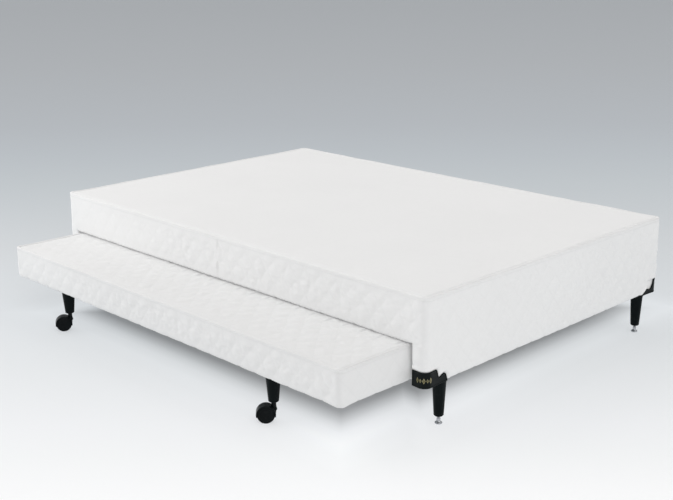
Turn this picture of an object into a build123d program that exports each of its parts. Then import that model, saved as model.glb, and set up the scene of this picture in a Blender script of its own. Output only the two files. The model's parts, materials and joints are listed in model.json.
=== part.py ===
from build123d import *
import math
import os

os.makedirs("parts", exist_ok=True)

# Double box bed base with a pull-out trundle.
# Frame: +Z up, floor at z = 0, +X along the bed, -Y towards the side the
# trundle pulls out of.  The origin is under the centre of the whole object
# with the trundle part-way out.  All lengths in millimetres.

# ---- driving dimensions -------------------------------------------------
LENGTH = 1880.0            # bed length, along X
DEPTH = 1280.0             # bed width, along Y
Y_FRONT = -487.2           # front face of the bed base
Y_BACK = Y_FRONT + DEPTH
UNDERSIDE = 145.0          # bottom edge of the upholstered base
TOP = 420.0                # top of the cover
R_BASE = 20.0              # plan radius of the vertical corners
PULL_OUT = 280.0           # how far the trundle stands out at rest

BORDER = 8.0               # padded, quilted side border
GAP = 0.2                  # clearance between fabric and frame
WALL_IN = 889.0            # half width of the trundle bay
OPEN_TOP = 272.0           # underside of the header over the trundle
SKIN = 3.0                 # hardboard skin
FRAME_T = 36.6             # thickness of the frame timber
BOARD_Z0, BOARD_Z1 = 385.0, 391.0
FOAM_Z1 = 414.0
TAPE_Z0, TAPE_Z1 = 409.0, 419.0

T_HALF = 875.0             # trundle half length, along X
T_DEPTH = 880.0            # trundle width, along Y
T_Y0 = Y_FRONT - PULL_OUT  # trundle front face
T_Y1 = T_Y0 + T_DEPTH
T_Z0, T_Z1 = 150.0, 265.0
R_TRUNDLE = 13.0

LEG_X = 917.6              # bed legs
LEG_INSET = 90.0
LEG_R_TOP, LEG_R_BOT = 21.5, 15.6
LEG_Z0, LEG_Z1 = 25.5, 142.0

GLIDE_R = 11.5             # levelling glide
STUD_R = 4.0

TLEG_X0, TLEG_X1 = -572.0, 561.0   # trundle legs, left and right
TLEG_INSET = 30.0
TLEG_R_TOP, TLEG_R_BOT = 23.0, 16.5
TLEG_Z0 = 67.0

TRAIL = 24.0               # caster: stem axis to axle
WHEEL_R = 27.5
WHEEL_IN, WHEEL_OUT = 4.0, 16.0
HOOD_R, HOOD_RI = 30.3, 28.5
HOOD_HALF = 17.0
AXLE_R = 3.0
STEM_R = 4.0
CASTER_ANGLES = {"fl": 240.0, "fr": 229.0, "bl": 234.0, "br": 222.0}

GUARD_T = 3.0              # moulded corner guard
GUARD_Z0 = 142.0

MADE = {}


def save(name, *solids):
    """One node: one solid, or a group of separate solids."""
    flat = []
    for s in solids:
        flat += list(s.solids())
    assert flat, name
    MADE[name] = flat
    shape = flat[0] if len(flat) == 1 else Compound(children=flat)
    export_step(shape, f"parts/{name}.step")


def box(x0, x1, y0, y1, z0, z1):
    return Pos((x0 + x1) / 2, (y0 + y1) / 2, (z0 + z1) / 2) * Box(x1 - x0, y1 - y0, z1 - z0)


def rrect(x0, x1, y0, y1, r, z0, z1):
    """Upright prism with a rounded rectangular plan."""
    sk = Pos((x0 + x1) / 2, (y0 + y1) / 2, z0) * RectangleRounded(x1 - x0, y1 - y0, r)
    return extrude(sk, z1 - z0)


def base_plan(inset, z0, z1):
    return rrect(-LENGTH / 2 + inset, LENGTH / 2 - inset, Y_FRONT + inset, Y_BACK - inset,
                 R_BASE - inset, z0, z1)


def trundle_plan(inset, z0, z1):
    return rrect(-T_HALF + inset, T_HALF - inset, T_Y0 + inset, T_Y1 - inset,
                 R_TRUNDLE - inset, z0, z1)


def cyl(x, y, r, z0, z1):
    return Pos(x, y, (z0 + z1) / 2) * Cylinder(r, z1 - z0)


def turned(points, x=0.0, y=0.0):
    """Solid of revolution about the vertical through (x, y); points are (r, z)."""
    face = make_face(Plane.XZ * Polyline(*points, close=True))
    return Pos(x, y, 0) * revolve(face, Axis.Z)


def mirrored_x(s):
    return mirror(s, Plane.YZ)


LEGS = {"fl": (-LEG_X, Y_FRONT + LEG_INSET), "fr": (LEG_X, Y_FRONT + LEG_INSET),
        "bl": (-LEG_X, Y_BACK - LEG_INSET), "br": (LEG_X, Y_BACK - LEG_INSET)}
TLEGS = {"fl": (TLEG_X0, T_Y0 + TLEG_INSET), "fr": (TLEG_X1, T_Y0 + TLEG_INSET),
         "bl": (TLEG_X0, T_Y1 - TLEG_INSET), "br": (TLEG_X1, T_Y1 - TLEG_INSET)}

# ---- bed base: timber frame ----------------------------------------------
IN = BORDER + GAP                       # inside face of the padded border
SKIN_IN = IN + SKIN                     # inside face of the hardboard skins
X_RAIL1 = LENGTH / 2 - SKIN_IN          # outer face of the end rails
X_RAIL0 = WALL_IN + 2.8                 # their inner face, behind the lining
Y_HEAD0 = Y_FRONT + SKIN_IN
Y_HEAD1 = Y_HEAD0 + FRAME_T
Y_BACK1 = Y_BACK - SKIN_IN
Y_BACK0 = Y_BACK1 - FRAME_T
POST = 52.0
Z_F0 = UNDERSIDE + 2.0                  # frame underside, above the wrapped border
Z_F1 = BOARD_Z0

inner_plan = base_plan(IN, Z_F0, Z_F1)

# end rails, top and bottom, both ends
end_rails = []
for s in (-1, 1):
    for z0, z1 in ((Z_F0, Z_F0 + 45.0), (Z_F1 - 45.0, Z_F1)):
        a, b = sorted((s * X_RAIL0, s * X_RAIL1))
        end_rails.append(box(a, b, Y_FRONT + IN + POST, Y_BACK - IN - POST, z0, z1))
# bores for the tee nuts of the legs
for k, (x, y) in LEGS.items():
    end_rails = [r - cyl(x, y, 6.0, Z_F0 - 1, Z_F0 + 45.1) for r in end_rails]
save("end_rails", *end_rails)

back_rails = [box(-X_RAIL0, X_RAIL0, Y_BACK0, Y_BACK1, Z_F0, Z_F0 + 45.0),
              box(-X_RAIL0, X_RAIL0, Y_BACK0, Y_BACK1, Z_F1 - 45.0, Z_F1)]
save("back_rails", *back_rails)

# corner posts follow the rounded corners; the others stand between the rails
posts = []
for s in (-1, 1):
    a, b = sorted((s * X_RAIL0, s * (LENGTH / 2)))
    for y0, y1 in ((Y_FRONT, Y_FRONT + IN + POST), (Y_BACK - IN - POST, Y_BACK)):
        posts.append(box(a, b, y0, y1, Z_F0, Z_F1) & inner_plan)
    a, b = sorted((s * X_RAIL0, s * X_RAIL1))
    for yc in (Y_FRONT + DEPTH * 0.36, Y_FRONT + DEPTH * 0.64):
        posts.append(box(a, b, yc - 22.5, yc + 22.5, Z_F0 + 45.0, Z_F1 - 45.0))
for xc in (-460.0, 0.0, 460.0):
    posts.append(box(xc - 22.5, xc + 22.5, Y_BACK0, Y_BACK1, Z_F0 + 45.0, Z_F1 - 45.0))
SCREWS = [(LENGTH / 2 - 24.0, Y_FRONT + 24.0), (LENGTH / 2 - 40.0, Y_FRONT + 52.0)]
SCREWS_B = [(x, Y_BACK - (y - Y_FRONT)) for x, y in SCREWS]
for x, y in SCREWS + SCREWS_B:
    for sx in (-1, 1):
        pilot = cyl(sx * x, y, 2.05, Z_F0 - 1, 164.0)
        posts = [q - pilot if abs(q.center().X - sx * x) < 60 and abs(q.center().Y - y) < 60 else q
                 for q in posts]
save("frame_posts", *posts)

save("front_header_beam", box(-X_RAIL0, X_RAIL0, Y_HEAD0, Y_HEAD1, OPEN_TOP + 3.0, Z_F1))

# hardboard skins under the padding: two ends, back, and the header
YS0, YS1 = Y_FRONT + IN + POST, Y_BACK - IN - POST
skins = [box(X_RAIL1, LENGTH / 2 - IN, YS0, YS1, Z_F0, Z_F1),
         box(-LENGTH / 2 + IN, -X_RAIL1, YS0, YS1, Z_F0, Z_F1),
         box(-X_RAIL0 + 6, X_RAIL0 - 6, Y_BACK1, Y_BACK - IN, Z_F0, Z_F1),
         box(-X_RAIL0 + 6, X_RAIL0 - 6, Y_FRONT + IN, Y_HEAD0, OPEN_TOP + 3.0, Z_F1)]
save("frame_skins", *skins)

joists = [box(x - 18, x + 18, Y_HEAD1, Y_BACK0, 287.0, Z_F1) for x in (-720, -360, 0, 360, 720)]
joists = [j - box(-X_RAIL0, X_RAIL0, Y_BACK0 - 0.2, Y_BACK0 + 1, 280, Z_F1) for j in joists]
save("deck_joists", *joists)

save("deck_board", base_plan(SKIN_IN + 0.3, BOARD_Z0, BOARD_Z1))
save("foam_pad", base_plan(9.6, BOARD_Z1, FOAM_Z1))
save("top_cover", base_plan(9.6, FOAM_Z1, TOP))
save("edge_tape", base_plan(0.8, TAPE_Z0, TAPE_Z1) - base_plan(9.2, TAPE_Z0 - 1, TAPE_Z1 + 1))

# ---- corner guards --------------------------------------------------------
# A moulded shell round each bottom corner with a flange under the base.
# The front pair is cut to the opening and reaches past the legs.
FRONT_WING = [(-5, GUARD_Z0), (106, GUARD_Z0), (104, 146), (97, 160), (90, 168), (84, 169),
              (70, 163.5), (64, 161.5), (59, 166), (53, 187), (49, 190), (-5, 190)]
REAR_WING = [(-5, GUARD_Z0), (84, GUARD_Z0), (81, 146), (66, 159), (58, 160.5), (44, 157), (36, 158),
             (17, 188), (12, 190), (-5, 190)]


def wing_prism(points, front):
    """Side profile of a guard on the right-hand end, as a prism along X."""
    pts = []
    for s, z in points:
        y = Y_FRONT + s if front else Y_BACK - s
        pts.append((y, z))
    face = make_face(Plane.YZ * Polyline(*pts, close=True))
    return Pos(LENGTH / 2 - 25, 0, 0) * extrude(face, 45, both=True)


def guard(front):
    shell = base_plan(0.0, GUARD_Z0, 190.0) - base_plan(GUARD_T, UNDERSIDE, 200.0)
    if front:
        y0, y1 = Y_FRONT - 5, Y_FRONT + 120
        keep_x = WALL_IN
    else:
        y0, y1 = Y_BACK - 120, Y_BACK + 5
        keep_x = None
    end_part = shell & wing_prism(FRONT_WING if front else REAR_WING, front)
    end_part = end_part & box(WALL_IN, LENGTH / 2 + 5, y0, y1, GUARD_Z0 - 1, 200)
    if front:
        return end_part
    # the rear guard has the same wing on the back face
    pts = [(LENGTH / 2 - s, z) for s, z in REAR_WING]
    face = make_face(Plane.XZ * Polyline(*pts, close=True))
    prism = Pos(0, Y_BACK - 16, 0) * extrude(face, 36, both=True)
    pad = (shell & prism) & box(LENGTH / 2 - 90, LENGTH / 2 + 5, Y_BACK - 51, Y_BACK + 5, GUARD_Z0 - 1, 200)
    both = end_part + pad
    return both


guards = {}
g_front = guard(True)
g_back = guard(False)
lx, ly = LEGS["fr"]
# flange pad round the top of the front leg
pad = extrude(Pos(lx, ly, GUARD_Z0) * Circle(24.0), 3.0) & base_plan(0.0, GUARD_Z0, 150)
pad = pad & box(WALL_IN, LENGTH / 2, Y_FRONT, Y_FRONT + 140, GUARD_Z0 - 1, 150)
g_front = g_front + pad
g_front = g_front - cyl(lx, ly, 5.3, GUARD_Z0 - 1, 146)
lx, ly = LEGS["br"]
pad = extrude(Pos(lx, ly, GUARD_Z0) * Circle(24.0), 3.0) & base_plan(0.0, GUARD_Z0, 150)
pad = pad & box(WALL_IN, LENGTH / 2, Y_BACK - 140, Y_BACK, GUARD_Z0 - 1, 150)
g_back = g_back + pad
g_back = g_back - cyl(lx, ly, 5.3, GUARD_Z0 - 1, 146)
for x, y in SCREWS:
    g_front = g_front - cyl(x, y, 2.1, GUARD_Z0 - 1, 146)
for x, y in SCREWS_B:
    g_back = g_back - cyl(x, y, 2.1, GUARD_Z0 - 1, 146)
guards["fr"], guards["br"] = g_front, g_back
guards["fl"], guards["bl"] = mirrored_x(g_front), mirrored_x(g_back)
for k in ("fl", "fr", "bl", "br"):
    save(f"corner_guard_{k}", guards[k])

screws = []
for x, y in SCREWS + SCREWS_B:
    s = turned([(0, 139.8), (3.2, 139.8), (3.9, 141.0), (3.9, 142.0), (2.0, 142.0), (2.0, 160.0), (0, 163.0)], x, y)
    screws += [s, mirrored_x(s)]
save("guard_screws", *screws)

# ---- padded side border ----------------------------------------------------
border = base_plan(0.0, UNDERSIDE, TAPE_Z0) - base_plan(BORDER, UNDERSIDE - 1, TAPE_Z0 + 1)
border = border - box(-WALL_IN, WALL_IN, Y_FRONT - 10, Y_FRONT + 30, UNDERSIDE - 5, OPEN_TOP)
# wrapped under the walls and under the header
under = base_plan(BORDER, UNDERSIDE, UNDERSIDE + 1.8) - box(-WALL_IN, WALL_IN, Y_FRONT - 10, Y_BACK0 - 2.8, 100, 200)
border = border + under
border = border + box(-WALL_IN, WALL_IN, Y_FRONT + BORDER - 0.5, Y_HEAD1, OPEN_TOP, OPEN_TOP + 2.6)
for g in guards.values():
    border = border - g
for x, y in LEGS.values():
    border = border - cyl(x, y, 5.4, 140, 150)
for x, y in SCREWS + SCREWS_B:
    for sx in (-1, 1):
        border = border - cyl(sx * x, y, 2.1, 140, 150)
save("side_border", border)

# linings of the bay: two ends and the back
linings = [box(WALL_IN + 0.4, X_RAIL0 - 0.1, Y_FRONT + IN, Y_BACK0 - 0.1, Z_F0, 285.0),
           box(-X_RAIL0 + 0.1, -WALL_IN - 0.4, Y_FRONT + IN, Y_BACK0 - 0.1, Z_F0, 285.0),
           box(-WALL_IN + 0.4, WALL_IN - 0.4, Y_BACK0 - 2.4, Y_BACK0 - 0.1, Z_F0, 285.0)]
head_end = box(-X_RAIL0, X_RAIL0, Y_FRONT, Y_HEAD1 + 0.1, OPEN_TOP + 2.8, 300.0)
linings = [q - head_end for q in linings]
save("bay_linings", *linings)
save("deck_dust_cover", box(-X_RAIL0 + 0.2, X_RAIL0 - 0.2, Y_HEAD1 + 0.2, Y_BACK0 - 0.2, 285.3, 286.8))

# ---- bed legs and levelling glides -----------------------------------------
leg_studs, nuts = [], []
for k, (x, y) in LEGS.items():
    leg = turned([(0, LEG_Z1), (LEG_R_TOP + 0.6, LEG_Z1), (LEG_R_TOP + 0.6, LEG_Z1 - 4.0), (LEG_R_TOP - 0.3, LEG_Z1 - 5.5),
                  (LEG_R_BOT, LEG_Z0 + 3.0), (LEG_R_BOT - 2.4, LEG_Z0), (0, LEG_Z0)], x, y)
    leg = leg - cyl(x, y, STUD_R + 0.1, LEG_Z0 - 1, 62.0)
    leg = leg - cyl(x, y, 5.05, 112.0, LEG_Z1 + 1)
    save(f"leg_{k}", leg)
    leg_studs.append(cyl(x, y, 5.0, 113.0, 178.0))
    nut = turned([(5.05, 145.0 + 2.0), (6.0, 147.0), (6.0, 190.0), (5.05, 190.0)], x, y)
    nuts.append(nut)
    glide = turned([(0, 0), (GLIDE_R - 0.8, 0), (GLIDE_R, 0.8), (GLIDE_R, 3.2), (GLIDE_R - 0.7, 4.0),
                    (6.4, 8.0), (5.2, 9.6), (0, 9.6)], x, y)
    hexed = extrude(Pos(x, y, 9.4) * RegularPolygon(6.6, 6), 7.0)
    shank = cyl(x, y, 5.0, 16.2, 25.3)
    stud = turned([(0, 25.0), (STUD_R, 25.0), (STUD_R, 57.5), (STUD_R - 1.2, 59.0), (0, 59.0)], x, y)
    save(f"leveler_{k}", glide + hexed + shank + stud)
save("leg_studs", *leg_studs)
save("leg_tee_nuts", *nuts)

# ---- trundle -----------------------------------------------------------------
T_IN = BORDER + GAP
RAIL_T = 36.8
TR_Z0, TR_Z1 = 152.0, 246.0
t_plan = trundle_plan(T_IN, TR_Z0, TR_Z1)
t_front = box(-T_HALF, T_HALF, T_Y0, T_Y0 + T_IN + RAIL_T, TR_Z0, TR_Z1) & t_plan
t_back = box(-T_HALF, T_HALF, T_Y1 - T_IN - RAIL_T, T_Y1, TR_Z0, TR_Z1) & t_plan
for k, (x, y) in TLEGS.items():
    t_front = t_front - cyl(x, y, 6.0, TR_Z0 - 1, TR_Z0 + 40)
    t_back = t_back - cyl(x, y, 6.0, TR_Z0 - 1, TR_Z0 + 40)
save("trundle_long_rails", t_front, t_back)
ty0, ty1 = T_Y0 + T_IN + RAIL_T, T_Y1 - T_IN - RAIL_T
save("trundle_end_rails", box(T_HALF - T_IN - RAIL_T, T_HALF - T_IN, ty0, ty1, TR_Z0, TR_Z1),
     box(-T_HALF + T_IN, -T_HALF + T_IN + RAIL_T, ty0, ty1, TR_Z0, TR_Z1))
save("trundle_slats", *[box(x - 35, x + 35, ty0, ty1, TR_Z1 - 18, TR_Z1) for x in (-600, -300, 0, 300, 600)])
save("trundle_board", trundle_plan(T_IN + 3.0, TR_Z1, 250.0))
save("trundle_foam", trundle_plan(9.6, 250.0, 259.5))
save("trundle_cover", trundle_plan(9.6, 259.5, T_Z1))
save("trundle_edge_tape", trundle_plan(0.8, 256.0, 264.0) - trundle_plan(9.2, 255.0, 266.0))
save("trundle_border", trundle_plan(0.0, T_Z0, 256.0) - trundle_plan(BORDER, T_Z0 - 1, 257.0))
t_dust = trundle_plan(T_IN, T_Z0 + 0.3, T_Z0 + 1.8)
for x, y in TLEGS.values():
    t_dust = t_dust - cyl(x, y, 5.4, 149, 153)
save("trundle_dust_cover", t_dust)

t_studs, t_nuts = [], []
for k, (x, y) in TLEGS.items():
    zt = T_Z0
    leg = turned([(0, zt), (TLEG_R_TOP + 0.5, zt), (TLEG_R_TOP + 0.5, zt - 4.0), (TLEG_R_TOP - 0.3, zt - 5.5),
                  (TLEG_R_BOT, TLEG_Z0 + 2.6), (TLEG_R_BOT - 2.2, TLEG_Z0), (0, TLEG_Z0)], x, y)
    leg = leg - cyl(x, y, STEM_R + 0.1, TLEG_Z0 - 1, 108.0)
    leg = leg - cyl(x, y, 5.05, 122.0, zt + 1)
    save(f"trundle_leg_{k}", leg)
    t_studs.append(cyl(x, y, 5.0, 123.0, 182.0))
    t_nuts.append(turned([(5.05, 152.0), (6.0, 152.0), (6.0, 191.0), (5.05, 191.0)], x, y))
save("trundle_leg_studs", *t_studs)
save("trundle_tee_nuts", *t_nuts)

# ---- casters -----------------------------------------------------------------
# Local frame: stem axis at the origin, wheels trailing along +X, axle along Y.


def disc(r, y0, y1, x=TRAIL, z=WHEEL_R):
    return Pos(x, (y0 + y1) / 2, z) * Rot(90, 0, 0) * Cylinder(r, y1 - y0)


hood = disc(HOOD_R, -HOOD_HALF, HOOD_HALF) - disc(HOOD_RI, -HOOD_HALF - 1, HOOD_HALF + 1)
hood = hood & box(-20, TRAIL + 40, -30, 30, 21.0, 62.0)
web = disc(HOOD_RI + 0.4, -3.2, 3.2) & box(-20, TRAIL + 40, -30, 30, 13.5, 62.0)
boss = cyl(0, 0, 7.6, 26.0, 66.0) - disc(HOOD_RI, -30, 30)
boss = boss + (box(-6.0, 14.0, -3.2, 3.2, 31.0, 54.0) & disc(HOOD_R, -5, 5))
housing = hood + web + boss
housing = housing - cyl(0, 0, STEM_R + 0.02, 46.0, 70.0)
housing = housing - disc(AXLE_R + 0.05, -5, 5)

prof = [(0.0, WHEEL_IN), (WHEEL_R - 1.4, WHEEL_IN), (WHEEL_R, WHEEL_IN + 1.4), (WHEEL_R, WHEEL_OUT - 4.0),
        (WHEEL_R - 1.2, WHEEL_OUT - 2.0), (WHEEL_R - 4.0, WHEEL_OUT - 0.6), (19.5, WHEEL_OUT),
        (18.5, WHEEL_OUT - 1.4), (8.0, WHEEL_OUT - 1.4), (6.5, WHEEL_OUT), (0.0, WHEEL_OUT)]
wf = make_face(Plane.XY * Polyline(*prof, close=True))          # x = radius, y = width
wheel = Pos(TRAIL, 0, WHEEL_R) * revolve(wf, Axis.Y)
wheel = wheel - disc(AXLE_R + 0.01, 0, 13.4)
wheel_b = mirror(wheel, Plane.XZ)
axle = disc(AXLE_R, -13.2, 13.2)
stem = turned([(0, 46.2), (STEM_R, 46.2), (STEM_R, 104.0), (STEM_R - 1.0, 105.5), (0, 105.5)])

for k, (x, y) in TLEGS.items():
    at = Pos(x, y, 0) * Rot(0, 0, CASTER_ANGLES[k])
    save(f"caster_housing_{k}", at * housing)
    save(f"caster_stem_{k}", at * stem)
    save(f"caster_axle_{k}", at * axle)
    save(f"caster_wheels_{k}", at * wheel, at * wheel_b)

lo = [1e9] * 3
hi = [-1e9] * 3
for name, solids in MADE.items():
    for s in solids:
        b = s.bounding_box()
        for i, (a, c) in enumerate(((b.min.X, b.max.X), (b.min.Y, b.max.Y), (b.min.Z, b.max.Z))):
            lo[i] = min(lo[i], a)
            hi[i] = max(hi[i], c)
print("nodes", len(MADE), "low", [round(v, 2) for v in lo], "high", [round(v, 2) for v in hi])
for k, (x, y) in TLEGS.items():
    a = math.radians(CASTER_ANGLES[k])
    print("axle", k, round(x + TRAIL * math.cos(a), 3), round(y + TRAIL * math.sin(a), 3),
          "axis", round(-math.sin(a), 6), round(math.cos(a), 6))
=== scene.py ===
import bpy
import json
import math
import numpy as np
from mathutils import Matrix, Quaternion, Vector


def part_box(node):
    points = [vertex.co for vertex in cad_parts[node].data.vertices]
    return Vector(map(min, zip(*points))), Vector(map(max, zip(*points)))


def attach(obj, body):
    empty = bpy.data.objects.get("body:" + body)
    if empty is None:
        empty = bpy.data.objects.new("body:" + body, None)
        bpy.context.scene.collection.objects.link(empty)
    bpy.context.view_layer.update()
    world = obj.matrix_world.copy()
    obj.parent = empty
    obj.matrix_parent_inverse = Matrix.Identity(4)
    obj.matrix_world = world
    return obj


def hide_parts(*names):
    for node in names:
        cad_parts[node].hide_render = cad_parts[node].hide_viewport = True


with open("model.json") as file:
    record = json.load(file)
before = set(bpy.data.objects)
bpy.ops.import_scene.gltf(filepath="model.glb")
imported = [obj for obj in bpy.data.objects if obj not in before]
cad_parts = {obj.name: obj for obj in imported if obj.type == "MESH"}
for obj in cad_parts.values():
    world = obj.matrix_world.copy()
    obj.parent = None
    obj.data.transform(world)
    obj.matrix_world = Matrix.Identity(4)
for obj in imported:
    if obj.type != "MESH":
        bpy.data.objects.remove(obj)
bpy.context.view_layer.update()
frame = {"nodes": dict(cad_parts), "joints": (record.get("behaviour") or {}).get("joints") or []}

# ---------------------------------------------------------------- dimensions
# All in metres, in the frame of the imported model.
LO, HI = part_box("side_border")
BX0, BX1, BY0, BY1 = LO.x, HI.x, LO.y, HI.y          # bed base outline
Z_UNDER, R_BASE = 0.145, 0.024
OPEN_X, OPEN_Z = 0.889, 0.272                        # trundle opening
LO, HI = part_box("trundle_border")
TX0, TX1, TY0, TY1 = LO.x, HI.x, LO.y, HI.y          # trundle outline
TZ0, R_TR = 0.150, 0.016
FLARE = 0.0034                                       # padding stands out at the upright corners
LEGS = {k: (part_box(f"leg_{k}")[0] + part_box(f"leg_{k}")[1]) / 2 for k in ("fl", "fr", "bl", "br")}
TLEGS = {k: (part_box(f"trundle_leg_{k}")[0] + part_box(f"trundle_leg_{k}")[1]) / 2 for k in ("fl", "fr", "bl", "br")}
AXLES = {}
for j in frame["joints"]:
    if j["name"].startswith("wheels_"):
        AXLES[j["name"][7:9]] = (Vector(j["pos_m"]), Vector(j["axis"]))

# ---------------------------------------------------------------- camera
cam_data = bpy.data.cameras.new("camera")
cam = bpy.data.objects.new("camera", cam_data)
bpy.context.scene.collection.objects.link(cam)
AZ, EL, ROLL = math.radians(45.519), math.radians(16.245), math.radians(-0.3506)
back = Vector((math.sin(AZ) * math.cos(EL), -math.cos(AZ) * math.cos(EL), math.sin(EL)))
cam.location = Vector((2.88296, -2.26312 + BY0, 1.43019))
cam.rotation_mode = "QUATERNION"
cam.rotation_quaternion = (-back).to_track_quat("-Z", "Y") @ Quaternion((0, 0, 1), ROLL)
cam_data.sensor_fit = "HORIZONTAL"
cam_data.sensor_width = 36.0
cam_data.lens = 59.50
cam_data.clip_start, cam_data.clip_end = 0.05, 200.0
bpy.context.scene.camera = cam
bpy.context.scene.view_settings.view_transform = "Standard"
bpy.context.scene.view_settings.look = "None"


# ---------------------------------------------------------------- noise
def _hash(ix, iy, iz, seed):
    h = (ix.astype(np.int64) * 374761393 + iy.astype(np.int64) * 668265263
         + iz.astype(np.int64) * 2147483647 + seed * 144665) & 0xFFFFFFFF
    h = ((h ^ (h >> 13)) * 1274126177) & 0xFFFFFFFF
    h = (h ^ (h >> 16)) & 0xFFFFFF
    return h / float(0xFFFFFF) * 2.0 - 1.0


def vnoise(x, y, z=0.0, seed=0):
    """Smooth value noise in -1..1, vectorised."""
    x, y, z = np.broadcast_arrays(np.asarray(x, float), np.asarray(y, float), np.asarray(z, float))
    ix, iy, iz = np.floor(x), np.floor(y), np.floor(z)
    fx, fy, fz = x - ix, y - iy, z - iz
    ux, uy, uz = (f * f * f * (f * (f * 6 - 15) + 10) for f in (fx, fy, fz))
    out = 0.0
    for dx in (0, 1):
        for dy in (0, 1):
            for dz in (0, 1):
                w = (ux if dx else 1 - ux) * (uy if dy else 1 - uy) * (uz if dz else 1 - uz)
                out = out + w * _hash(ix + dx, iy + dy, iz + dz, seed)
    return out


def fnoise(x, y, z=0.0, seed=0, octaves=3):
    out, amp, f = 0.0, 1.0, 1.0
    for o in range(octaves):
        out = out + amp * vnoise(np.asarray(x) * f, np.asarray(y) * f, np.asarray(z) * f, seed + 17 * o)
        amp *= 0.5
        f *= 2.03
    return out / 1.75


def smooth(a, b, x):
    t = np.clip((x - a) / (b - a), 0, 1)
    return t * t * (3 - 2 * t)


# ---------------------------------------------------------------- mesh helpers
def make_object(name, verts, faces, shade=True):
    me = bpy.data.meshes.new(name)
    me.from_pydata([tuple(map(float, v)) for v in verts], [], faces)
    me.validate()
    me.update()
    if shade:
        me.polygons.foreach_set("use_smooth", [True] * len(me.polygons))
    ob = bpy.data.objects.new(name, me)
    bpy.context.scene.collection.objects.link(ob)
    return ob


def cloth_maps(ob, uv, painted_shade, ab=None, wrap=None):
    """Puts the flat cloth's coordinates on the mesh: uv in metres, the painted shade at seams and creases (0..1), and
    the quilting's own coordinates.
    """
    me = ob.data
    idx = np.zeros(len(me.loops), np.int64)
    me.loops.foreach_get("vertex_index", idx)
    uv = np.asarray(uv, float)
    per = uv[idx].copy()
    per_ab = None if ab is None else np.asarray(ab, float)[idx].copy()
    if wrap:
        # faces across the start of the outline: their far side is a full turn on
        starts = np.zeros(len(me.polygons), np.int64)
        totals = np.zeros(len(me.polygons), np.int64)
        me.polygons.foreach_get("loop_start", starts)
        me.polygons.foreach_get("loop_total", totals)
        top = np.maximum.reduceat(per[:, 0], starts)
        low = np.minimum.reduceat(per[:, 0], starts)
        bad = np.repeat(top - low > wrap / 2, totals) & (per[:, 0] < wrap / 2)
        per[bad, 0] += wrap
        if per_ab is not None:
            per_ab[bad] += wrap / PITCH_U
    me.uv_layers.new(name="uv").data.foreach_set("uv", per.astype(np.float32).ravel())
    if per_ab is not None:
        me.uv_layers.new(name="quilt").data.foreach_set("uv", per_ab.astype(np.float32).ravel())
    at = me.attributes.new("painted_shade", "FLOAT", "POINT")
    at.data.foreach_set("value", np.clip(np.asarray(painted_shade, float), 0, 1).astype(np.float32))
    return ob


def paint(ob, mat):
    ob.data.materials.clear()
    ob.data.materials.append(mat)
    return ob


def auto_smooth(ob, angle=35.0):
    me = ob.data
    me.polygons.foreach_set("use_smooth", [True] * len(me.polygons))
    me.set_sharp_from_angle(angle=math.radians(angle))
    return ob


class Outline:
    """A rounded rectangle seen from above, walked anticlockwise from the middle of the front side."""

    def __init__(self, x0, x1, y0, y1, r):
        self.r = r
        cx = (x0 + x1) / 2
        q = math.pi * r / 2
        self.segs = [
            ("L", (cx, y0), (x1 - r, y0), (0, -1)), ("A", (x1 - r, y0 + r), -90), ("L", (x1, y0 + r), (x1, y1 - r), (1, 0)),
            ("A", (x1 - r, y1 - r), 0), ("L", (x1 - r, y1), (x0 + r, y1), (0, 1)), ("A", (x0 + r, y1 - r), 90),
            ("L", (x0, y1 - r), (x0, y0 + r), (-1, 0)), ("A", (x0 + r, y0 + r), 180), ("L", (x0 + r, y0), (cx, y0), (0, -1))]
        self.len = [q if s[0] == "A" else math.dist(s[1], s[2]) for s in self.segs]
        self.start = np.concatenate([[0], np.cumsum(self.len)])
        self.total = float(self.start[-1])

    def at(self, u, inset=0.0):
        """Points (N, 2) and outward normals (N, 2) at arc length u, moved in by inset."""
        u = np.asarray(u, float) % self.total
        inset = np.broadcast_to(np.asarray(inset, float), u.shape)
        pos, nrm = np.zeros(u.shape + (2,)), np.zeros(u.shape + (2,))
        k = np.clip(np.searchsorted(self.start, u, side="right") - 1, 0, len(self.segs) - 1)
        for i, s in enumerate(self.segs):
            m = k == i
            if not m.any():
                continue
            t = u[m] - self.start[i]
            if s[0] == "L":
                d = (np.array(s[2]) - np.array(s[1])) / self.len[i]
                n = np.tile(np.array(s[3], float), (t.size, 1))
                p = np.array(s[1]) + t[:, None] * d
            else:
                a = math.radians(s[2]) + t / self.r
                n = np.stack([np.cos(a), np.sin(a)], 1)
                p = np.array(s[1]) + self.r * n
            pos[m] = p - n * inset[m][:, None]
            nrm[m] = n
        return pos, nrm

    def flare(self, u, width=0.040):
        """1 at the middle of each rounded corner, falling to 0 along the sides."""
        u = np.asarray(u, float) % self.total
        out = np.zeros(u.shape)
        for i, s in enumerate(self.segs):
            if s[0] == "A":
                c = self.start[i] + self.len[i] / 2
                d = np.minimum(np.abs(u - c), self.total - np.abs(u - c))
                out = np.maximum(out, np.exp(-(d / width) ** 2))
        return out

    def lines(self, step, arc_step, extra=()):
        """Arc lengths of the grid's columns, with extra ones put in exactly."""
        out = []
        for i, s in enumerate(self.segs):
            n = max(1, math.ceil(self.len[i] / (arc_step if s[0] == "A" else step)))
            out += list(self.start[i] + self.len[i] * np.arange(n) / n)
        out = np.array(out)
        for e in extra:
            near = np.abs(out - e).argmin()
            if abs(out[near] - e) < 0.0011:
                out[near] = e
            else:
                out = np.append(out, e)
        return np.unique(np.round(out, 7))


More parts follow.
